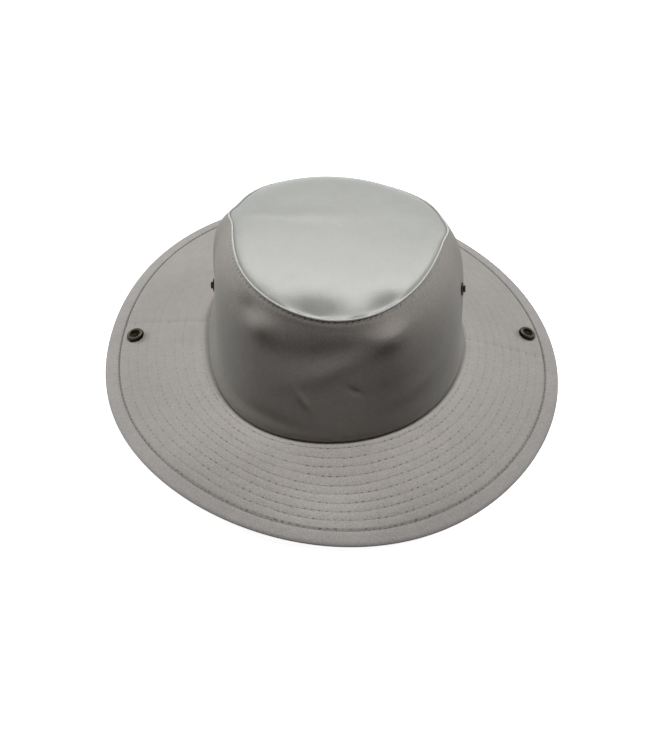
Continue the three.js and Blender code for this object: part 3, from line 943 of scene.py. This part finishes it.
def crown_wall(name):
    top_lines, middle_lines, foot_lines = WALL_LINES
    share = np.concatenate([
        np.linspace(1, WALL_FINE, top_lines)[:-1],
        np.linspace(WALL_FINE, WALL_LOW, middle_lines),
        np.linspace(WALL_LOW, 0, foot_lines)[1:],
    ])[None, :]
    turn = np.linspace(0, math.tau, WALL_STEPS + 1)[:, None]
    turn, share = np.broadcast_arrays(turn, share)
    radius, up = wall_form(turn, share)
    up = up + SEAM_REACH * bump((1 - share) / REACH_SHARE) - FOOT_REACH * bump(share / REACH_SHARE)
    below = column("tip_up", turn) - WELT / 2 - up
    from_row = below - WALL_ROW
    from_foot = up - up[:, -1:]
    stitch, along = count_stitches(turn, TIP_STITCHES, SEAM_STITCH)
    pit = ROW_LINE + (1 - ROW_LINE) * bump(along / STITCH_PIT_LONG)
    pit = STITCH_PIT * pit * bump(from_row / STITCH_PIT_HALF)
    ripple = RIPPLE * np.sin(math.tau * stitch) * bump(from_row / PUCKER_REACH)
    swell = SEAM_SWELL * bump((below - SWELL_BELOW) / SWELL_HALF)
    tuck = FOOT_TUCK * bump(from_foot / FOOT_TUCK_HALF)
    radius = radius - PUCKER_DEEP * (pit + ripple) + swell - tuck
    outside = place(turn, radius + CROWN_CLOTH / 2, up)
    inside = place(turn, radius - CROWN_CLOTH / 2, up)
    # painted light makes the wall paler towards its top and in a few spots under the tip seam, and
    # painted shade darkens its foot
    painted = {
        "tight": share * tightness(turn),
        "painted_light": share + painted_light_spots(turn, share),
        "painted_crease_shade": crease_shade(turn, from_foot),
    }
    return cloth_piece(name, outside, inside, np.stack([stitch, from_row / ONE_ROW], -1), painted)


# painted shade: the wall's drill is coloured darker and warmer than the brim's, for the shade on
# its front and the warm light that the brim bounces onto it
WALL_SHADED_COLOUR = (0.318, 0.291, 0.270)
WALL_HOLES = (ONE_ROW, SEAM_STITCH, 0.6, 1.1, 0.7)
wall_cloth = cloth_material("crown_cotton", WALL_SHADED_COLOUR, rows=WALL_HOLES)
wall = crown_wall("crown_wall_cloth")

# %% [markdown]
# ## The tip and its welt
#
# The tip is an oval of the same drill, pressed smooth, so it has more gloss than the rest. Its
# edge turns down a little and goes in against the welt. Two faint creases run across it.
#
# The welt is the seam's own doubled cloth, which stands up as a thin ridge. Its colour is painted
# much paler than the drill, as a painted highlight. A curve with a round bevel would give the
# ridge, but sweeping it as a grid lets each stitch nip it slightly.

# %% Tip
TIP_STEPS_ROUND = 360
TIP_STEPS_OUT = 60
TIP_GRID = 1.35  # how much closer the grid's rings lie near the edge, as a power
EDGE_TURN_DOWN = 0.4
EDGE_TURN_WIDE = 0.9
UNDER_TURN = 0.2  # how far the underside follows the edge's turn, as a share
WELT_REACH = 0.7  # how far the tip's edge goes on towards the welt
# angle from the x axis, place along y, half width and height of soft creases across the tip
TIP_CREASES = ((4.0, 12.0, 6.0, 0.45), (4.0, 24.0, 9.0, -0.35))
CREASE_MIDDLE = 0.5  # how strong the creases are halfway, and how much weaker to the right
CREASE_FADE = 0.4
CREASE_FADE_WIDE = 25
CREASE_EDGE = 6  # how close to the seam they reach, as a power


def tip_crease(x, y):
    up = 0.0
    for angle, middle, half, height in TIP_CREASES:
        tilt = math.radians(angle)
        across = (y - middle) * math.cos(tilt) - x * math.sin(tilt)
        up = up + height * bump(across / half)
    return up * (CREASE_MIDDLE - CREASE_FADE * np.tanh(x / CREASE_FADE_WIDE))


def crown_tip(name):
    turn = np.linspace(0, math.tau, TIP_STEPS_ROUND + 1)[:, None]
    out = np.linspace(0, 1, TIP_STEPS_OUT)[None, :]
    turn, share = np.broadcast_arrays(turn, 1 - (1 - out) ** TIP_GRID)
    radius, up = tip_form(turn, share)
    radius = radius + WELT_REACH * share
    crease = tip_crease(radius * np.cos(turn), radius * np.sin(turn))
    up = up + crease * (1 - share ** CREASE_EDGE)
    turned = EDGE_TURN_DOWN * bump((1 - share) * radius / EDGE_TURN_WIDE)
    top = place(turn, radius, up + CROWN_CLOTH / 2 - turned)
    under = place(turn, radius, up - CROWN_CLOTH / 2 - UNDER_TURN * turned)
    return cloth_piece(name, top, under, loop=False)


TIP_COLOUR = (0.34, 0.343, 0.322)
tip_cloth = cloth_material("tip_cotton", TIP_COLOUR, roughness=0.40, sheen=0.0, gloss=1.0)
tip = crown_tip("crown_tip_cloth")

# %% Welt
WELT_STEPS = 720
WELT_SIDES = 12
WELT_SLIM = 0.55  # its half width as a share of the cord's, because the seam presses it
WELT_SHOWS = 0.75  # its height as a share of the cord's, because its foot is sewn in
WELT_NIP = 0.10  # how much thinner it is at a stitch, and over what share of the pitch
NIP_HALF = 0.22


def tip_welt(name):
    turn = np.linspace(0, math.tau, WELT_STEPS + 1)[:, None]
    side = np.linspace(0, math.tau, WELT_SIDES, endpoint=False)[None, :]
    turn, side = np.broadcast_arrays(turn, side)
    stitch, off_stitch = count_stitches(turn, TIP_STITCHES, 1)
    thick = WELT / 2 * (1 - WELT_NIP * bump(off_stitch / NIP_HALF))
    radius = tip_radius(turn) + WELT_SLIM * thick * np.cos(side)
    up = column("tip_up", turn) + (1 - WELT_SHOWS) * WELT / 2 + WELT_SHOWS * thick * np.sin(side)
    counts = np.stack([stitch, side], -1)
    return new_object(name, grid_mesh(name, place(turn, radius, up)[:-1], counts))


# painted highlight: the welt's colour is much paler than the drill it is sewn from
WELT_HIGHLIGHT_COLOUR = (0.66, 0.66, 0.63)
welt_cloth = cloth_material("welt_cotton", WELT_HIGHLIGHT_COLOUR, straight=False, roughness=0.6, gloss=0.5)
welt = tip_welt("tip_welt_cloth")

# %% [markdown]
# ## Snap fasteners
#
# Each side of the brim carries a socket, and each side of the crown a stud, so the brim can be
# folded up and snapped. Every one has a domed cap on the other face of the cloth, and its post
# goes through a hole that an awl would make. All are turned pieces: an outline spun about the
# axis. The outline is rounded by cutting its corners twice, as a file would break the edges.
# The cloth's own form says where each snap stands and which way it faces, and spinning with
# arrays puts the piece there at once, which a Screw modifier wouldn't.

# %% Seats on the cloth
# angles in degrees, and shares of the brim's width and of the wall's height
SNAPS = (
    {"side": "left", "socket": 179.5, "stud": 183.0, "share": 0.72, "wall_share": 0.48},
    {"side": "right", "socket": 8.5, "stud": 351.0, "share": 0.72, "wall_share": 0.61},
)
BRIM_POST = 1.6  # radius of the posts
WALL_POST = 1.2
HOLE_CLEARANCE = 0.35
SEAT_STEP = 0.5  # how far apart the points are that give a seat its direction, in degrees
SEAT_SHARE = 0.01


def seat(form, angle, share):
    """Centre and outward direction of the cloth at an angle in degrees and a share."""
    def point(angle_here, share_here):
        turn = np.radians(angle_here)
        radius, up = form(turn, np.asarray(share_here, float))
        return place(turn, radius, up)

    around = point(angle + SEAT_STEP, share) - point(angle - SEAT_STEP, share)
    along = point(angle, share + SEAT_SHARE) - point(angle, share - SEAT_SHARE)
    normal = np.cross(around, along)
    if form is brim_form:
        normal = -normal
    return Vector(point(angle, share)), Vector(normal).normalized()


# %% Turned pieces
CORNER_CUT = 0.25  # where a corner is cut off, as a share of each side


def turned_piece(name, outline, centre, axis, closed_ring=False, rounding=2, steps=48):
    """Spins an outline of (radius, height) in millimetres about an axis through centre."""
    line = np.array(outline, float)
    for _ in range(rounding):
        ends = np.roll(line, -1, 0) if closed_ring else line[1:]
        starts = line if closed_ring else line[:-1]
        near_start = (1 - CORNER_CUT) * starts + CORNER_CUT * ends
        near_end = CORNER_CUT * starts + (1 - CORNER_CUT) * ends
        cut = np.stack([near_start, near_end], 1).reshape(-1, 2)
        line = cut if closed_ring else np.concatenate([line[:1], cut, line[-1:]])
    turn = np.linspace(0, math.tau, steps, endpoint=False)[:, None]
    radius = np.broadcast_to(line[:, 0], (steps, len(line)))
    up = np.broadcast_to(line[:, 1], (steps, len(line)))
    points = np.stack([radius * np.cos(turn), radius * np.sin(turn), up], -1)
    rotation = np.array(Vector((0, 0, 1)).rotation_difference(axis).to_matrix())
    mesh = grid_mesh(name, points @ rotation.T + np.array(centre), loop=closed_ring)
    return new_object(name, mesh)


# radius and height of each corner, in millimetres
SOCKET_OUTLINE = (
    (1.9, 0.0), (5.6, 0.0), (5.9, 0.35), (5.9, 1.3), (5.6, 2.2), (4.9, 2.6), (4.1, 2.6),
    (3.4, 2.2), (3.3, 1.4), (3.2, 0.9), (1.95, 0.8), (1.9, 0.6),
)
STUD_OUTLINE = (
    (0.0, 1.6), (1.5, 1.6), (1.5, 0.0), (4.1, 0.0), (4.3, 0.2), (4.3, 0.5), (3.9, 0.9),
    (2.2, 1.0), (2.1, 1.3), (2.3, 1.7), (2.2, 2.1), (1.6, 2.3), (0.0, 2.3),
)


def cap_outline(radius, dome, rim, post, post_height):
    """A domed cap with a post. Its dome points down, and its flat face is at height 0."""
    return (
        (0.0, -dome), (radius * 0.5, -dome * 0.94), (radius * 0.85, -dome * 0.7),
        (radius, -rim), (radius - 0.1, 0.0), (post, 0.0), (post, post_height), (0.0, post_height),
    )


# %% [markdown]
# ## Antique brass
#
# The snaps are brass with a dark brown patina. Handling rubs it off the raised edges, where the
# metal shows. A material doesn't know how far a point stands out from its seat, so that is
# painted on the points as a number, and the colour follows it with some noise.

# %% Brass material
PATINA = (0.016, 0.013, 0.009, 1.0)
BARE_METAL = (0.085, 0.072, 0.05, 1.0)
WEAR_SPOTTY = 0.6  # how much the spots break up the edge of the worn places
BARE_FROM = 0.5  # the wear at which the metal starts to show
SPOT_HIGH = 0.02
SCRATCH_HIGH = 0.01


def brass_material(name):
    tree = Finish(name)
    body = tree.millimetres()
    spots = tree.noise(body, 1.1, detail=4.0)
    scratches = tree.noise(tree.scaled(body, (0.5, 3.0, 3.0)), 1.4)
    bare = tree.ramp(tree.painted("wear_and_light") + WEAR_SPOTTY * (spots - 0.5), BARE_FROM, 1.0)
    return tree.give({
        "Base Color": tree.mixed(bare, PATINA, BARE_METAL),
        "Roughness": tree.ramp(spots, 0.3, 0.7, 0.34, 0.55),
        "Normal": tree.relief(SPOT_HIGH * spots + SCRATCH_HIGH * scratches, 0.5),
        "Metallic": 0.9,
    })


def paint_wear(mesh, centre, axis, low, high):
    """Gives each point 0 to 1 by its height above the seat, between low and high millimetres."""
    points = np.zeros(len(mesh.vertices) * 3, np.float32)
    mesh.vertices.foreach_get("co", points)
    height = (points.reshape(-1, 3) / MM - np.array(centre)) @ np.array(axis)
    paint(mesh, "wear_and_light", np.clip((height - low) / (high - low), 0, 1))


# %% Pierce the cloth
AWL_REACH = 6.0


def pierce(cloth, centre, axis, radius):
    """Cuts a round hole through a cloth piece, where a post passes."""
    outline = ((0.0, -AWL_REACH), (radius, -AWL_REACH), (radius, AWL_REACH), (0.0, AWL_REACH))
    awl = turned_piece("awl", outline, centre, axis, rounding=0, steps=32)
    finish_mesh(awl.data)
    cut = cloth.modifiers.new("hole", "BOOLEAN")
    cut.operation = "DIFFERENCE"
    cut.solver = "MANIFOLD"
    cut.object = awl
    bpy.context.view_layer.update()
    seen = cloth.evaluated_get(bpy.context.evaluated_depsgraph_get())
    pierced = bpy.data.meshes.new_from_object(seen)
    cloth.modifiers.remove(cut)
    cloth.data = pierced
    bpy.data.objects.remove(awl)


# %% Set the snaps
# radius, dome, rim and post of a cap, and how far the post goes into the piece in front
SOCKET_CAP = (6.2, 1.6, 0.6, BRIM_POST, 1.4)
STUD_CAP = (5.2, 1.3, 0.5, WALL_POST, 1.2)
STUD_CAP_GAP = 0.7  # from the inside of the wall to the cap
# heights above the seat between which a piece gets worn
SOCKET_WEAR = (1.4, 2.6)
SOCKET_CAP_WEAR = (0.6, 1.6)
STUD_WEAR = (1.6, 3.0)
STUD_CAP_WEAR = (0.5, 1.3)


def set_snap(cloth, place_on, half_cloth, front, back, gap_behind=GAP):
    """Sets a front piece and its cap on the two faces of a cloth. front is its name, outline,
    whether that is a ring, and its wear. back is the cap's name, sizes and wear."""
    centre, axis = place_on
    name, outline, ring, front_wear = front
    cap_name, (radius, dome, rim, post, post_in), cap_wear = back
    pierce(cloth, centre, axis, post + HOLE_CLEARANCE)
    above = centre + axis * (half_cloth + GAP)
    below = centre - axis * (half_cloth + gap_behind)
    outer = turned_piece(f"{name}_brass", outline, above, axis, closed_ring=ring)
    paint_wear(outer.data, above, axis, *front_wear)
    post_height = 2 * half_cloth + GAP + gap_behind + post_in
    cap_line = cap_outline(radius, dome, rim, post, post_height)
    cap = turned_piece(f"{cap_name}_brass", cap_line, below, axis)
    paint_wear(cap.data, below, -axis, *cap_wear)
    return [(outer, name), (cap, cap_name)]


# the Boolean needs closed meshes, so the cloth is finished before it is pierced
for piece in (brim_back, brim_front, band, wall, tip, welt):
    left_open = finish_mesh(piece.data)
    print(piece.name, "has", left_open, "open edges")

brass = brass_material("antique_brass")
snap_pieces = []
for snap in SNAPS:
    side = snap["side"]
    brim_piece = brim_front if snap["socket"] > BRIM_SEAMS[1] else brim_back
    snap_pieces += set_snap(
        brim_piece, seat(brim_form, snap["socket"], snap["share"]), BRIM_CLOTH / 2,
        (f"snap_socket_{side}", SOCKET_OUTLINE, True, SOCKET_WEAR),
        (f"snap_cap_{side}", SOCKET_CAP, SOCKET_CAP_WEAR),
    )
    snap_pieces += set_snap(
        wall, seat(wall_form, snap["stud"], snap["wall_share"]), CROWN_CLOTH / 2,
        (f"crown_stud_{side}", STUD_OUTLINE, False, STUD_WEAR),
        (f"stud_cap_{side}", STUD_CAP, STUD_CAP_WEAR),
        gap_behind=STUD_CAP_GAP,
    )

for piece, node in snap_pieces:
    finish_mesh(piece.data)
    piece.data.materials.append(brass)
    finish_piece(piece, "antique_brass", node)

# %% Give the cloth pieces their materials and set them in place of the CAD nodes
CLOTH_PIECES = (
    (brim_back, brim_cloth, "cotton_brim", "brim_back"),
    (brim_front, brim_cloth, "cotton_brim", "brim_front"),
    (band, band_cloth, "cotton_edge", "brim_edge_band"),
    (wall, wall_cloth, "cotton_crown", "crown_wall"),
    (tip, tip_cloth, "cotton_tip", "crown_tip"),
    (welt, welt_cloth, "cotton_tip", "tip_welt"),
)
for piece, material, slot, node in CLOTH_PIECES:
    piece.data.materials.clear()
    piece.data.materials.append(material)
    finish_piece(piece, slot, node)

# %% [markdown]
# ## Thread
#
# The hat is sewn with cotton thread of its own colour. A stitch is a short bridge of thread
# that dives into the cloth at both ends. There are about four thousand of them, so one Geometry
# Nodes tree makes a single stitch and sets it on every point of a seam. Each point carries the
# direction of the seam and of the cloth's face, and a seeded random turn keeps the row from
# looking machined from metal. Real lockstitch shows on both faces of the brim, so it is sewn
# on top and underneath.

# %% Stitch tree
STITCH_DIVE = 0.6  # how deep a stitch's ends dive, as a share of its arch
SWAY = (0.05, 0.05, 0.10)  # how far a stitch turns by chance, in radians
CURVE_STEPS = 4
THREAD_SIDES = 5


def stitch_tree():
    group = bpy.data.node_groups.new("stitches", "GeometryNodeTree")
    add = group.interface.new_socket
    add("Geometry", in_out="INPUT", socket_type="NodeSocketGeometry")
    for label, value in (("Stitch length", 0.0028), ("Thread radius", 0.00018), ("Arch", 0.0004)):
        add(label, in_out="INPUT", socket_type="NodeSocketFloat").default_value = value
    add("Seed", in_out="INPUT", socket_type="NodeSocketInt").default_value = 1
    add("Thread", in_out="INPUT", socket_type="NodeSocketMaterial")
    add("Geometry", in_out="OUTPUT", socket_type="NodeSocketGeometry")
    tree = Tree(group)
    given = group.nodes.new("NodeGroupInput")
    taken = group.nodes.new("NodeGroupOutput")

    def value(name):
        return Wire(tree, given.outputs[name])

    half = value("Stitch length") * 0.5
    dive = value("Arch") * -STITCH_DIVE
    bridge = tree.node("GeometryNodeCurveQuadraticBezier", {}, {
        "Resolution": CURVE_STEPS,
        "Start": tree.vector(X=half * -1.0, Z=dive),
        "Middle": tree.vector(Z=value("Arch")),
        "End": tree.vector(X=half, Z=dive),
    })
    circle = tree.node("GeometryNodeCurvePrimitiveCircle", {}, {
        "Resolution": THREAD_SIDES, "Radius": value("Thread radius"),
    })
    stitch = tree.node("GeometryNodeCurveToMesh", {}, {
        "Curve": bridge, "Profile Curve": circle, "Fill Caps": True,
    })
    stitch = tree.node("GeometryNodeSetShadeSmooth", {}, {"Geometry": stitch})
    vector = {"data_type": "FLOAT_VECTOR"}
    face = tree.node("GeometryNodeInputNamedAttribute", vector, {"Name": "face"})
    along = tree.node("GeometryNodeInputNamedAttribute", vector, {"Name": "along"})
    rotation = tree.node("FunctionNodeAxesToRotation", {}, {
        "Primary Axis": face, "Secondary Axis": along,
    })
    placed = tree.node("GeometryNodeInstanceOnPoints", {}, {
        "Points": value("Geometry"), "Instance": stitch, "Rotation": rotation,
    })
    sway = tree.node("FunctionNodeRandomValue", vector, {
        "Min": tuple(-turn for turn in SWAY), "Max": SWAY, "Seed": value("Seed"),
    })
    swayed = tree.node("GeometryNodeRotateInstances", {}, {"Instances": placed, "Rotation": sway})
    real = tree.node("GeometryNodeRealizeInstances", {}, {"Geometry": swayed})
    done = tree.node("GeometryNodeSetMaterial", {}, {"Geometry": real, "Material": value("Thread")})
    group.links.new(done.socket, taken.inputs["Geometry"])
    print("the tree of a stitch has", len(group.nodes), "nodes")
    return group


STITCHES = stitch_tree()

# %% Sewing
QUARTER = 0.25  # how far along its pitch a stitch looks each way for its direction
LOOK_ACROSS = 0.4  # and how far across the row for its face, in millimetres


def sew(name, stitches, material, slot, length, seed):
    """Sets a stitch at each point. Each lies along the line to the next point of its own row,
    and faces out of the cloth. stitches holds a centre, a direction and a face in each row."""
    mesh = bpy.data.meshes.new(name)
    mesh.from_pydata((stitches[:, :3] * MM).tolist(), [], [])
    for label, values in (("along", stitches[:, 3:6]), ("face", stitches[:, 6:])):
        layer = mesh.attributes.new(label, "FLOAT_VECTOR", "POINT")
        layer.data.foreach_set("vector", values.astype(np.float32).ravel())
    seam = new_object(name, mesh)
    sewing = seam.modifiers.new("sewing", "NODES")
    sewing.node_group = STITCHES
    wanted = {"Stitch length": length * MM, "Seed": seed, "Thread": material}
    for item in STITCHES.interface.items_tree:
        if item.in_out == "INPUT" and item.name in wanted:
            sewing[item.identifier] = wanted[item.name]
    bpy.context.view_layer.update()
    seen = seam.evaluated_get(bpy.context.evaluated_depsgraph_get())
    thread = bpy.data.meshes.new_from_object(seen)
    thread.name = name
    seam.modifiers.remove(sewing)
    seam.data = thread
    bpy.data.meshes.remove(mesh)
    finish_piece(seam, slot)


def row_of_stitches(count, surface, side=1):
    """Centres, directions and faces of count stitches on a ring. surface(turn, off) gives the
    cloth's skin at an angle, off millimetres across the ring. side -1 faces the other way."""
    turn = (np.arange(count) + 0.5) / count * math.tau
    step = math.tau / count * QUARTER
    centre = surface(turn, 0.0)
    along = surface(turn + step, 0.0) - surface(turn - step, 0.0)
    across = surface(turn, LOOK_ACROSS) - surface(turn, -LOOK_ACROSS)
    along = along / np.linalg.norm(along, axis=1, keepdims=True)
    face = np.cross(across, along)
    face = face / np.linalg.norm(face, axis=1, keepdims=True)
    return np.concatenate([centre, along, side * face], 1)


# %% Thread material


def thread_material(name, colour):
    tree = Finish(name)
    body = tree.millimetres()
    twist = tree.noise(body, 4.0)
    fade = tree.noise(body, 0.05)
    shade = 0.9 + 0.3 * (twist - 0.5) + 0.3 * (fade - 0.5)
    return tree.give({
        "Base Color": tree.dyed(colour, shade),
        "Normal": tree.relief(0.05 * twist),
        "Roughness": 0.8,
        "Sheen Weight": 0.2,
    })


brim_thread = thread_material("brim_thread", (0.385, 0.358, 0.34))
crown_thread = thread_material("crown_thread", (0.42, 0.405, 0.38))

# %% Quilting thread, above and below
THREAD_SUNK = 0.28  # how deep the thread lies in the cloth's nap
SUNK_SLACK = 1.3  # how much of that where the quilting is slack, and one less where it is tight
BRIM_STITCH_SHOWS = 0.86  # the share of the pitch that shows
SEAM_STITCH_SHOWS = 0.84


def brim_rows(side):
    """Stitches of all rings on one face of the brim: side 1 is the top and -1 the underside."""
    rings = []
    for row, count in enumerate(ROW_STITCHES):
        def skin(turn, off, row=row):
            share = row_share(turn, row) + off / brim_width(turn)
            radius, up = brim_form(turn, share)
            tight = tightness(turn)
            sunk = tight * GROOVE_DEEP + THREAD_SUNK * (SUNK_SLACK - tight)
            return place(turn, radius, up + side * (BRIM_CLOTH / 2 - sunk))

        rings.append(row_of_stitches(int(count), skin, side))
    return np.concatenate(rings)


brim_long = BRIM_STITCH * BRIM_STITCH_SHOWS
seam_long = SEAM_STITCH * SEAM_STITCH_SHOWS
for side, name, seed in ((1, "brim_thread_top", 3), (-1, "brim_thread_under", 4)):
    sew(name, brim_rows(side), brim_thread, "cotton_brim", brim_long, seed)

# %% Thread of the band and the tip seam
BAND_THREAD_UP = 1.2 - BAND_PULL * 0.5  # from the middle of the brim's cloth
SEAM_THREAD_OUT = 0.35 * SEAM_SWELL - 0.45 * PUCKER_DEEP  # from the wall's smooth face


def band_row(side):
    def skin(turn, off):
        share = 1 - (EDGE_BAND_WIDTH - BAND_ROW - off) / brim_width(turn)
        radius, up = brim_form(turn, share)
        return place(turn, radius, up + side * BAND_THREAD_UP)

    return row_of_stitches(band_stitches(), skin, side)


def wall_skin(turn, off):
    foot, top = wall_ends(turn)
    share = 1 - (WALL_ROW - GAP - off) / (top - foot)
    radius, up = wall_form(turn, share)
    return place(turn, radius + CROWN_CLOTH / 2 + SEAM_THREAD_OUT, up)


for side, name, seed in ((1, "band_thread_top", 5), (-1, "band_thread_under", 6)):
    sew(name, band_row(side), brim_thread, "cotton_edge", seam_long, seed)
tip_row = row_of_stitches(TIP_STITCHES, wall_skin, -1)
sew("tip_seam_thread", tip_row, crown_thread, "cotton_crown", seam_long, 7)

# %% [markdown]
# ## The studio
#
# The hat lies on a white sweep: a floor that curves up into a backdrop, so no horizon shows. A
# soft light high above the hat lights the tip and the brim most and leaves the front of the
# wall in shade. Two low soft lights behind its left and right sides draw the bright edges of
# the crown. A long light further back shows only as gloss on the tip, and the other strong
# lights show only as light on the cloth, so none of them leaves a hard spot. The sweep is left
# out of the bounced light, as if it were far away, so that it doesn't fill the shade in front.
# An environment image could light the hat as well, but a few lamps are easier to steer.

# %% Sweep
SWEEP_GLOW = 0.94
SWEEP_STEPS = 96
# from the middle outwards and upwards, in metres
SWEEP_PROFILE = (
    (0.0, -0.0003), (2.2, -0.0003), (3.0, 0.1), (3.6, 0.5), (3.9, 1.2), (4.0, 2.4), (4.0, 6.0),
)


def sweep_material():
    tree = Finish("white_sweep")
    grain = tree.noise(tree.metres(), 60.0)
    return tree.give({
        "Base Color": tree.grey(tree.ramp(grain, 0.3, 0.7, 0.84, 0.86)),
        "Roughness": 0.9,
        "Specular IOR Level": 0.1,
        "Emission Color": (1.0, 1.0, 1.0, 1.0),
        "Emission Strength": SWEEP_GLOW,
    })


turn = np.linspace(0, math.tau, SWEEP_STEPS, endpoint=False)[:, None]
outwards, upwards = np.array(SWEEP_PROFILE).T[:, None, :] / MM
sweep_points = np.stack(np.broadcast_arrays(
    outwards * np.cos(turn), outwards * np.sin(turn), upwards,
), -1)
sweep = new_object("sweep", grid_mesh("sweep", sweep_points, loop=False))
sweep.data.flip_normals()
sweep.data.shade_smooth()
sweep.data.materials.append(sweep_material())
sweep.visible_diffuse = False

# %% Lights
LIGHTS_FACE = Vector((0, 0, 0.05))
COOL = (0.93, 1.0, 1.0)
WARM = (1.0, 0.995, 0.97)
WHITE = (1.0, 1.0, 1.0)
AIR_GLOW = 0.02


def softbox(name, at, wide, high, power, colour=WHITE):
    """An area light that faces the hat. Sizes and places are in metres, power in watts."""
    light = bpy.data.lights.new(name, "AREA")
    light.shape = "RECTANGLE"
    light.size = wide
    light.size_y = high
    light.energy = power
    light.color = colour
    lamp = new_object(name, light)
    lamp.location = at
    lamp.rotation_mode = "QUATERNION"
    lamp.rotation_quaternion = (LIGHTS_FACE - Vector(at)).to_track_quat("-Z", "Y")
    print(name, "gives", power, "watts")
    return lamp


top_light = softbox("top_light", (0, 0, 1.9), 0.45, 0.45, 21.0)
softbox("front_light", (0, -1.3, 0.6), 0.8, 0.8, 0.1)
left_light = softbox("left_light", (-1.0, 0.42, 0.35), 0.6, 0.5, 6.7, COOL)
right_light = softbox("right_light", (1.0, 0.52, 0.45), 0.6, 0.5, 5.8, COOL)
for light in (top_light, left_light, right_light):
    light.visible_glossy = False
gloss_light = softbox("gloss_light", (0, 0.78, 1.32), 1.2, 0.4, 12.8, WARM)
gloss_light.visible_diffuse = False

world = bpy.data.worlds.new("studio_air")
bpy.context.scene.world = world
world.use_nodes = True
air = world.node_tree.nodes["Background"]
air.inputs["Color"].default_value = (*WHITE, 1.0)
air.inputs["Strength"].default_value = AIR_GLOW
bpy.context.scene.view_settings.view_transform = "Standard"

# %% [markdown]
# ## How each piece was cut
#
# Every cloth piece was flat before it was sewn. The wall was cut as a curved strip, the tip as
# an oval and each half of the brim as a half ring. Their flat sizes and areas are measured on
# the form above, between the seams. A stiff hat holds its cloth stretched between its seams.
# The edge band and the welt are folded strips, so they go with the pieces that they finish.

# %% Flat sizes
WHOLE_RING = (0, 360)
LINES_ROUND = 361
LINES_ACROSS = 41


def middle_of_cloth(form, angles, ends=None):
    """Points on the middle of a cloth between two angles in degrees. ends gives the share
    where it ends at each angle, if it doesn't go all the way."""
    turn = np.radians(np.linspace(*angles, LINES_ROUND))[:, None]
    share = np.linspace(0, 1, LINES_ACROSS)[None, :]
    if ends:
        share = ends(turn) * share
    turn, share = np.broadcast_arrays(turn, share)
    return place(turn, *form(turn, share)) * MM


def cut_area(points):
    """Area of a cloth in square metres."""
    round_step = np.diff(points, axis=0)[:, :-1]
    across_step = np.diff(points, axis=1)[:-1]
    return float(np.linalg.norm(np.cross(round_step, across_step), axis=-1).sum())


def declare_cut(piece, points, flat):
    area = cut_area(points)
    print(piece.name, "was cut", [round(side, 3) for side in flat], "m, area", round(area, 4), "m2")


def spread(points):
    """How wide and long a piece is when it lies on the table."""
    low = points.reshape(-1, 3).min(0)
    high = points.reshape(-1, 3).max(0)
    return tuple(float(side) for side in (high - low)[:2])


def band_starts(turn):
    return 1 - EDGE_BAND_WIDTH / brim_width(turn)


tip_points = middle_of_cloth(tip_form, WHOLE_RING)
declare_cut(tip, tip_points, spread(tip_points))
wall_points = middle_of_cloth(wall_form, WHOLE_RING)
wall_slant = float(np.linalg.norm(np.diff(wall_points, axis=1), axis=-1).sum(1).max())
declare_cut(wall, wall_points, (wall_slant, HEAD_ROUND * MM))
back_points = middle_of_cloth(brim_form, BRIM_SEAMS, ends=band_starts)
declare_cut(brim_back, back_points, spread(back_points))
front_points = middle_of_cloth(brim_form, (BRIM_SEAMS[1], BRIM_SEAMS[0] + 360), ends=band_starts)
declare_cut(brim_front, front_points, spread(front_points))

# %% Update the scene
bpy.context.view_layer.update()
